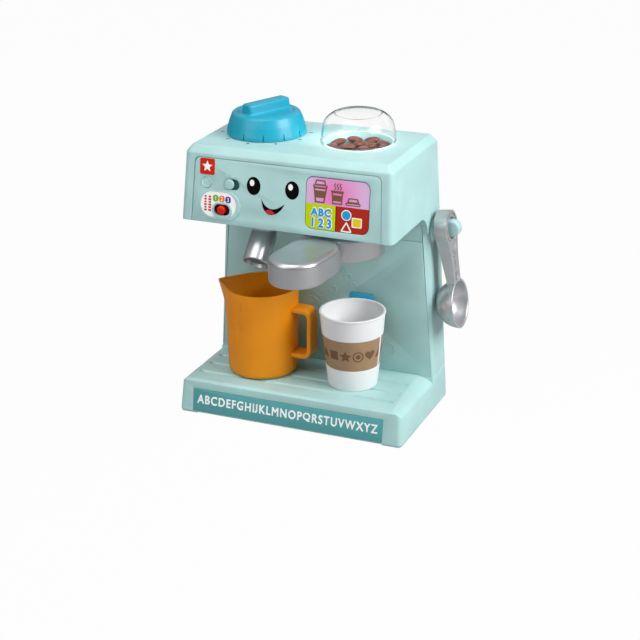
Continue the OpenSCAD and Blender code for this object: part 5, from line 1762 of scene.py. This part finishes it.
@dataclass
class HookAndScoop:
    """The hook in the side wall and the measuring scoop that hangs on it."""

    y: float = 44.0
    z: float = 175.6
    hook_size: Point3 = (25.5, 10.0, 15.6)
    loop_r: float = 16.5
    hole_r: float = 10.2
    thick: float = 11.4
    out: float = 17.0
    drop: float = 73.0
    bowl_r: float = 22.8
    bowl_wall: float = 2.0
    rim: float = 2.1
    tilt: float = math.asin(6.2 / 73.0)
    flank: tuple[Point2, ...] = ((14.2, -8.6), (11.6, -15.0), (9.3, -24.0), (8.2, -36.0), (7.8, -48.0),
                                 (8.4, -56.0), (10.6, -61.0))

    def hook(self) -> None:
        """Builds the hook with a rounded nose."""
        reach, width, height = self.hook_size
        h = height / 2
        outline = rounded([(-3.0, -h, 0), (reach, -h, h * 0.98), (reach, h, h * 0.98), (-3.0, h, 0)], steps=12)
        body = prism(outline, -width / 2, width / 2, lambda u, v, w: M.on_side(u, self.y + w, v, self.z))
        Form("scoop_hook", body).soften(1.8, 3).settle(Look.SHELL, "body_plastic", "hook")

    def place(self, across: float, up: float, out: float) -> Point3:
        """Turns a point of the scoop's own frame, seen from outside, into its place."""
        c, s = math.cos(self.tilt), math.sin(self.tilt)
        return M.on_side(self.out + out * c - up * s, self.y + across, out * s + up * c, self.z)

    def in_handle(self, u: float, v: float, w: float) -> Point3:
        """Lays the handle between its outer face and its own thickness, which lessens towards the bowl."""
        share = min(1.0, max(0.0, (-v - 14) / 46))
        return self.place(u, v, -(self.thick - 3.6 * share * share * (3 - 2 * share)) * w)

    def in_hollow(self, u: float, v: float, w: float) -> Point3:
        """Lays the handle's hollow, narrower at its floor than at its mouth."""
        narrow = 1.0 if w > 0 else 0.86 if abs(v) > 20 else 0.98
        return self.place(u * narrow, v, w)

    def outline(self, inset: float) -> list[Point2]:
        """Returns the loop's and the handle's outline, drawn smaller by an inset.

        Args:
            inset: How much smaller it is drawn.

        Returns:
            The outline.
        """
        right = [(x - inset, y) for x, y in wave(self.flank, 5)]
        loop = [on_ring(0, 0, self.loop_r - inset, math.radians(a)) for a in range(-24, 205, 8)]
        return [*right[::-1], *loop, *[(-x, y) for x, y in right]]

    def bowl(self) -> tuple[Shape, Shape]:
        """Builds the bowl.

        Returns:
            The bowl in its place, and what has to be clear of the handle inside it.
        """
        r, low = self.bowl_r, self.bowl_r - self.bowl_wall
        outer, inner = ([on_ring(0, 0, size, math.radians(a - 90)) for a in range(0, 89, 4)]
                        for size in (r, low))
        lip = [(r + 0.25, -0.7), (r + 0.3, -0.25), (r + 0.05, 0.0), (low + 0.5, 0.0), (low + 0.1, -0.35)]
        shapes = [lathe(profile) for profile in (
            [(0.0, -r), *outer[1:], *lip, *inner[:0:-1], (0.0, -low)],
            [(0.0, 3.0), (0.0, -low - 0.01), *inner[1:], (low, 3.0)])]
        shell, clear = (faced(moved(shape, lambda u, v, w: self.place(u, v - self.drop, w)))
                        for shape in shapes)
        return shell, clear

    def scoop(self) -> None:
        """Builds the scoop: thick loop, hollowed handle and bowl, with a thin raised rim, and its marks."""
        shell, clear = self.bowl()
        form = Form("measuring_scoop", prism(self.outline(0), 0.0, 1.0, self.in_handle))
        form.cut(Cut.TAKE, prism(self.outline(self.rim), -1, 1.5, self.in_hollow))
        ring, hole = circle(0, 0, self.hole_r + 2.2, 64), circle(0, 0, self.hole_r, 64)
        form.cut(Cut.JOIN, prism(ring, -1.6, 0.0, self.place)).soften(0.55, 3, 44)
        form.cut(Cut.TAKE, prism(hole, -20, 20, self.place), clear).cut(Cut.JOIN, shell)
        # The scoop takes a lighter copy of the silver: painted light.
        form.settle(Look.SILVER_PAINTED_LIGHT, "silver_plastic", "scoop", body="hanging_scoop", smooth=40)
        lines = [wave([(-1.8, -22.0), (1.8, -23.6), (-0.6, -27.2), (2.2, -28.2)]),
                 [(-2.4, -33.8), (2.2, -31.4)], [(2.2, -34.2), (-2.2, -39.6)],
                 [(-2.2, -42.8), (2.4, -42.0), (2.2, -45.4)], [(-2.2, -49.4), (2.4, -48.6)]]
        marks = merge(*[flat_shape([stroke(line, 1.0)], -1.2, -0.45, self.place) for line in lines])
        Form("scoop_marks", marks).soften(0.15).settle(Look.SILVER, "silver_plastic", body="hanging_scoop")

    def build(self) -> None:
        """Builds the hook and the scoop."""
        self.hook()
        self.scoop()


# ---------------------------------------------------------------- jug and cup


@dataclass
class Vessel:
    """A round vessel that widens evenly towards its rim."""

    centre: Point2
    foot_r: float
    rim_r: float
    height: float
    wall: float

    def radius(self, z: float) -> float:
        """Returns the outer radius at a height."""
        return self.foot_r + (self.rim_r - self.foot_r) * z / self.height

    def on_wall(self, angle: float, out: float = 0.0) -> Place:
        """Returns the map from a flat drawing onto the wall.

        Args:
            angle: Where round the vessel the drawing's middle is, in degrees.
            out: How far outside the wall it lies.

        Returns:
            The map.
        """
        def put(u: float, v: float, w: float) -> Point3:
            """Lays one point on the wall."""
            r = self.radius(v) + out
            return *on_ring(*self.centre, r + w, math.radians(angle) + u / r), M.standing_z + v
        return put


@dataclass
class Jug(Vessel):
    """The orange jug with its pointed lip, its strap handle and its embossed scale."""

    centre: Point2 = (-48.0, -8.6)
    foot_r: float = 32.8
    rim_r: float = 34.6
    height: float = 84.0
    wall: float = 2.2
    foot_round: float = 8.0
    foot_top: float = 12.0
    floor: float = 2.4
    reach: float = 47.0
    lip_from: float = 34.0
    lip_curve: float = 1.55
    lip_soft: float = 0.0035
    handle_reach: float = 53.0
    handle_span: Point2 = (18.5, 67.5)
    handle_w: float = 17.0
    handle_t: float = 4.2
    scale_angle: float = -120.0
    digit_angle: float = -101.5
    steps: int = 120

    def loop(self, r: float, z: float, lip: float) -> list[Point3]:
        """Returns one level of the jug.

        Args:
            r: Radius of the round part.
            z: Its height.
            lip: How far the lip reaches beyond the round part.

        Returns:
            The level's points.
        """
        spread = math.acos(r / (r + lip)) if lip > 0.01 else 0.0
        points = []
        for k in range(self.steps):
            a = TURN * k / self.steps
            off = math.sqrt((a - math.pi) ** 2 + self.lip_soft)
            q = r / math.cos(spread - off) if off < spread else r
            points.append((*on_ring(*self.centre, q, a), M.standing_z + z))
        return points

    def lip(self, z: float) -> float:
        """Returns how far the lip reaches at a height."""
        share = max(0.0, (z - self.lip_from) / (self.height - self.lip_from))
        return (self.reach - self.rim_r) * share ** self.lip_curve

    def shell(self) -> Shape:
        """Builds the jug's wall and floor.

        Returns:
            The jug without its handle.
        """
        h, w, r, start = self.height, self.wall, self.foot_r, self.foot_top
        top, reach = self.radius(h), self.lip(h)
        levels = [14, 20, 28, 34, 39, 44, 49, 54, 59, 64, 69, 74, 79, h - 0.7]
        foot = rounded([(r - 9.8, 0, 0), (r, 0, self.foot_round), (self.radius(start), start, 0)], False, 9)
        well = rounded([(self.radius(start) - w, start, 0), (r - w, self.floor, self.foot_round - w),
                        (r * 0.5, self.floor, 0)], False, 7)
        rows = [(r * 0.5, 0.5, 0), (r - 10.4, 0.5, 0), *[(q, z, 0) for q, z in foot]]
        rows += [(self.radius(z), z, self.lip(z)) for z in levels]
        rows += [(top - 0.25, h - 0.15, reach), (top - 0.8, h, reach), (top - w + 0.7, h, reach),
                 (top - w + 0.2, h - 0.2, reach)]
        rows += [(self.radius(z) - w, z, self.lip(z)) for z in reversed(levels[:-1])]
        rows += [(q, z, 0) for q, z in well]
        return loft([self.loop(*row) for row in rows])

    def handle(self) -> Form:
        """Builds the strap handle, cut off where the jug's wall begins.

        Returns:
            The handle.
        """
        (low, high), reach, t = self.handle_span, self.handle_reach, self.handle_t
        x, y = self.centre
        outline = rounded([(28, high, 0), (reach, high, 8.5), (reach - 0.6, low, 8.5), (28, low, 0),
                           (28, low + t, 0), (reach - t - 0.6, low + t, 4.6), (reach - t, high - t, 4.6),
                           (28, high - t, 0)])
        strap = Form("strap", prism(outline, -self.handle_w / 2, self.handle_w / 2,
                                    lambda u, v, w: (x + u, y + w, M.standing_z + v)))
        return strap.soften(1.1, 3).cut(Cut.TAKE, loft([self.loop(self.radius(z) - 1.2, z, 0)
                                                        for z in (-2, self.height + 4)]))

    def build(self) -> None:
        """Builds the jug and the scale on it."""
        jug = Form("pouring_jug_body", self.shell()).cut(Cut.JOIN, self.handle().release())
        jug.settle(Look.JUG, "jug_plastic", "jug", body="pouring_jug", smooth=34)
        tick = prism(box2(0, 22.0, 6.2, 0.9, 0.2), -0.3, 0.35)
        ticks = RowPattern("scale_row", Look.JUG).grow(tick, Count=13, Step=(0.0, 4.5, 0.0))
        digits = [Letters(12.0, 0.12, longest=2.0).write(text, 0, z, -0.3, 0.55, self.on_wall(self.digit_angle))
                  for text, z in (("1", 31.0), ("2", 50.7), ("3", 68.3))]
        scale = merge(moved(ticks, self.on_wall(self.scale_angle)), *digits)
        Form("jug_scale", scale).soften(0.15).settle(Look.JUG, "jug_plastic", body="pouring_jug")


@dataclass
class Cup(Vessel):
    """The white cup with its brown sleeve and the shapes printed on it."""

    centre: Point2 = (43.5, -9.4)
    foot_r: float = 22.8
    rim_r: float = 30.2
    height: float = 72.0
    wall: float = 2.0
    low: float = 21.0
    high: float = 51.0
    seat: float = 0.9
    card: float = 0.8
    sleeve_gap: float = 0.15
    picture_count: int = 11
    picture_step: float = 25.6
    picture_scale: float = 1.15
    first_picture: float = -134.0

    def turned(self, outline: Loop) -> Shape:
        """Turns an outline round the cup's axis."""
        return lathe([(r, h + M.standing_z) for r, h in outline], self.centre, 112)

    def body(self) -> None:
        """Builds the cup with its set-back seat for the sleeve."""
        r, foot, low, high, h = self.radius, self.foot_r, self.low, self.high, self.height
        outline = rounded([
            (0, 0.6, 0), (foot - 3.6, 0.6, 0.4), (foot - 3.0, 0, 0.2), (foot, 0, 1.0),
            (r(low) + 0.2, low, 0.35), (r(low) - self.seat, low, 0), (r(high) - self.seat, high, 0),
            (r(high) + 0.35, high, 0.35), (r(h - 2.2), h - 2.2, 1.0), (r(h) + 0.45, h - 1.3, 0.5),
            (r(h) + 0.45, h, 0.6), (r(h) - self.wall, h, 0.7), (r(3) - self.wall, 3.0, 2.6), (0, 2.4, 0)])
        Form("play_cup_body", self.turned(outline)).settle(Look.CUP, "cup_plastic", "cup", body="play_cup",
                                                           smooth=34)

    def pictures(self, mid: float) -> list[list[list[Point2]]]:
        """Returns the drawings on the sleeve, one after the other.

        Args:
            mid: Height of their middle.

        Returns:
            Triangle, square, star, ring and heart, each as its outlines.
        """
        heart = [(4.6 * math.sin(t) ** 3, mid + 0.5 + 0.29 * (13 * math.cos(t) - 5 * math.cos(2 * t)
                  - 2 * math.cos(3 * t) - math.cos(4 * t))) for t in (TURN * j / 40 for j in range(40))]
        drawn = [rounded([(-4.6, mid - 3.6, 0.4), (4.6, mid - 3.6, 0.4), (0, mid + 4.6, 0.4)]),
                 box2(0, mid, 7.6, 7.6, 0.4), star(0, mid, 5.2, 2.4), circle(0, mid, 4.5), heart]
        scale = self.picture_scale
        grown = [[[(scale * u, mid + scale * (v - mid)) for u, v in loop]] for loop in drawn]
        grown[3] += [circle(0, mid, 4.0), circle(0, mid, 2.3)]
        return grown

    def sleeve(self) -> None:
        """Builds the sleeve, its seam and its shapes."""
        r, low, high = self.radius, self.low + self.sleeve_gap, self.high - self.sleeve_gap
        inner, outer = -self.seat + 0.02, -self.seat + self.card
        outline = [(r(low) + inner, low), (r(low) + outer, low), (r(high) + outer, high),
                   (r(high) + inner, high)]
        Form("cup_sleeve_band", self.turned(outline)).settle(Look.SLEEVE, "sleeve_card", "cup_sleeve",
                                                             body="play_cup")
        mid = (low + high) / 2
        seam = prism(box2(0, mid, 2.6, high - low - 0.3, 0.2), -0.2, 0.35, self.on_wall(-2.0, outer))
        Form("sleeve_seam", seam).soften(0.12).settle(Look.CUP, "cup_plastic", body="play_cup")
        pictures = self.pictures(mid)
        shapes = [flat_shape(pictures[k % len(pictures)], -0.02, 0.09,
                             self.on_wall(self.first_picture + k * self.picture_step, outer), 1.6)
                  for k in range(self.picture_count)]
        Form("sleeve_shapes", merge(*shapes)).settle(Look.SLEEVE_PRINT, "sleeve_card", body="play_cup")

    def build(self) -> None:
        """Builds the cup and its sleeve."""
        self.body()
        self.sleeve()


# ---------------------------------------------------------------- carried-over nodes


@dataclass(frozen=True)
class InnerParts:
    """Finishes for the CAD nodes that stay as they are; what isn't named is steel."""

    looks: tuple[tuple[Look, tuple[str, ...]], ...] = (
        (Look.SHELL, ("rear_cover", "base_plate", "battery_door", "bean_well")),
        (Look.RUBBER, ("rubber_feet", "drive_belt")), (Look.BOARD, ("main_board", "button_board")),
        (Look.LED, ("display_leds",)), (Look.MOULDED_BLACK, ("switch_bodies", "speaker")),
        (Look.MOULDED_WHITE, ("dial_pulley", "table_pulley", "battery_box")), (Look.CELL, ("batteries",)),
        (Look.SILVER_DARK, ("bean_table",)))

    def build(self) -> None:
        """Gives every shown CAD node its finish."""
        named = {name: look for look, names in self.looks for name in names}
        for name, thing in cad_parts.items():
            if not thing.material_slots:
                LOG.warning("%s has no material slot", name)
            for place in thing.material_slots:
                place.material = named.get(name, Look.STEEL).value.make()


# ---------------------------------------------------------------- studio


@dataclass(frozen=True)
class Lamp:
    """One soft square lamp: its name, its place in millimetres, its side in metres, its power and its aim."""

    name: str
    place: Point3
    size: float
    watts: float
    aim: Point3 = (0, 0, 130)

    def build(self) -> None:
        """Hangs the lamp."""
        light = bpy.data.lights.new(self.name, "AREA")
        light.size, light.energy = self.size, self.watts
        thing = bpy.data.objects.new(self.name, light)
        thing.location = Vector(self.place) * MM
        thing.rotation_euler = (Vector(self.place) - Vector(self.aim)).to_track_quat("Z", "Y").to_euler()
        bpy.context.scene.collection.objects.link(thing)


@dataclass
class Studio:
    """Floor, world, lamps and camera."""

    target: Point3 = (14.74, -18.0, 94.04)
    azimuth: float = 23.25
    elevation: float = 22.2
    distance: float = 1500.6
    roll: float = -0.74
    focal_px: float = 1634.86
    frame_px: int = 640
    sensor: float = 36.0
    floor_size: float = 6.0
    floor_grey: float = 0.5
    floor_glow: float = 0.97
    world_light: float = 0.13
    mirrored: tuple[Point2, Point2] = ((0.02, 0.12), (0.35, 0.62))
    lamps: tuple[Lamp, ...] = (Lamp("key_lamp", (1250, -150, 950), 0.9, 24.5),
                               Lamp("top_lamp", (-150, -520, 1300), 1.0, 9),
                               Lamp("fill_lamp", (-800, -1300, 800), 1.0, 5.6))

    def floor(self) -> None:
        """Lays a white floor that keeps a faint shadow."""
        bm = bmesh.new()
        bmesh.ops.create_grid(bm, x_segments=1, y_segments=1, size=self.floor_size)
        thing = Form("studio_floor", bm).thing
        material = bpy.data.materials.new("studio_white")
        n = Nodes(material)
        seen = n.either("Is Camera Ray", "Is Transmission Ray")
        share = n.add("ShaderNodeMath", {0: seen, 1: self.floor_glow}, operation="MULTIPLY")
        matt = n.add("ShaderNodeBsdfDiffuse", {"Color": (*[self.floor_grey] * 3, 1)})
        mix = n.add("ShaderNodeMixShader", {0: share, 1: matt, 2: n.add("ShaderNodeEmission")})
        n.add("ShaderNodeOutputMaterial", {"Surface": mix})
        thing.data.materials.append(material)

    def world(self) -> None:
        """Sets a soft grey surround, white to the camera and brighter higher up in what gloss mirrors."""
        world = bpy.data.worlds.new("studio_world")
        bpy.context.scene.world = world
        n = Nodes(world)
        height = n.add("ShaderNodeSeparateXYZ", {0: n.add("ShaderNodeTexCoord").outputs["Generated"]})
        ramp = n.ramp(height.outputs["Z"], *[(at, (grey, grey, grey, 1)) for at, grey in self.mirrored])
        gloss = n.add("ShaderNodeMixShader", {
            0: n.add("ShaderNodeLightPath").outputs["Is Glossy Ray"],
            1: n.add("ShaderNodeBackground", {"Strength": self.world_light}),
            2: n.add("ShaderNodeBackground", {"Color": ramp})})
        mix = n.add("ShaderNodeMixShader", {
            0: n.either("Is Camera Ray", "Is Transmission Ray"), 1: gloss,
            2: n.add("ShaderNodeBackground", {"Color": (1, 1, 1, 1)})})
        n.add("ShaderNodeOutputWorld", {"Surface": mix})

    def camera(self) -> None:
        """Sets the camera in front, to the right and above."""
        lens = bpy.data.cameras.new("studio_camera")
        lens.sensor_width, lens.sensor_fit = self.sensor, "HORIZONTAL"
        lens.lens = self.focal_px * self.sensor / self.frame_px
        lens.clip_end = 20
        a, e, r = (math.radians(v) for v in (self.azimuth, self.elevation, self.roll))
        back = Vector((math.sin(a) * math.cos(e), -math.cos(a) * math.cos(e), math.sin(e)))
        right = Vector((math.cos(a), math.sin(a), 0))
        up = back.cross(right)
        side, top = right * math.cos(r) + up * math.sin(r), -right * math.sin(r) + up * math.cos(r)
        spot = (Vector(self.target) + back * self.distance) * MM
        thing = bpy.data.objects.new("studio_camera", lens)
        thing.matrix_world = Matrix.Translation(spot) @ Matrix((side, top, back)).transposed().to_4x4()
        bpy.context.scene.collection.objects.link(thing)
        bpy.context.scene.camera = thing

    def build(self) -> None:
        """Builds the studio."""
        self.floor()
        self.world()
        for lamp in self.lamps:
            lamp.build()
        self.camera()
        bpy.context.scene.view_settings.view_transform = "Standard"


def main() -> None:
    """Builds the dressed coffee maker and its studio."""
    logging.basicConfig(level=logging.INFO, format="%(name)s %(message)s")
    for part in (Studio(), Housing(), FrontControls(), Dial(), Dome(), SteamSpout(), Portafilter(), CupButton(),
                 HookAndScoop(), Jug(), Cup(), InnerParts()):
        LOG.info("building %s", type(part).__name__)
        part.build()
    bpy.context.view_layer.update()


if __name__ == "__main__":
    main()
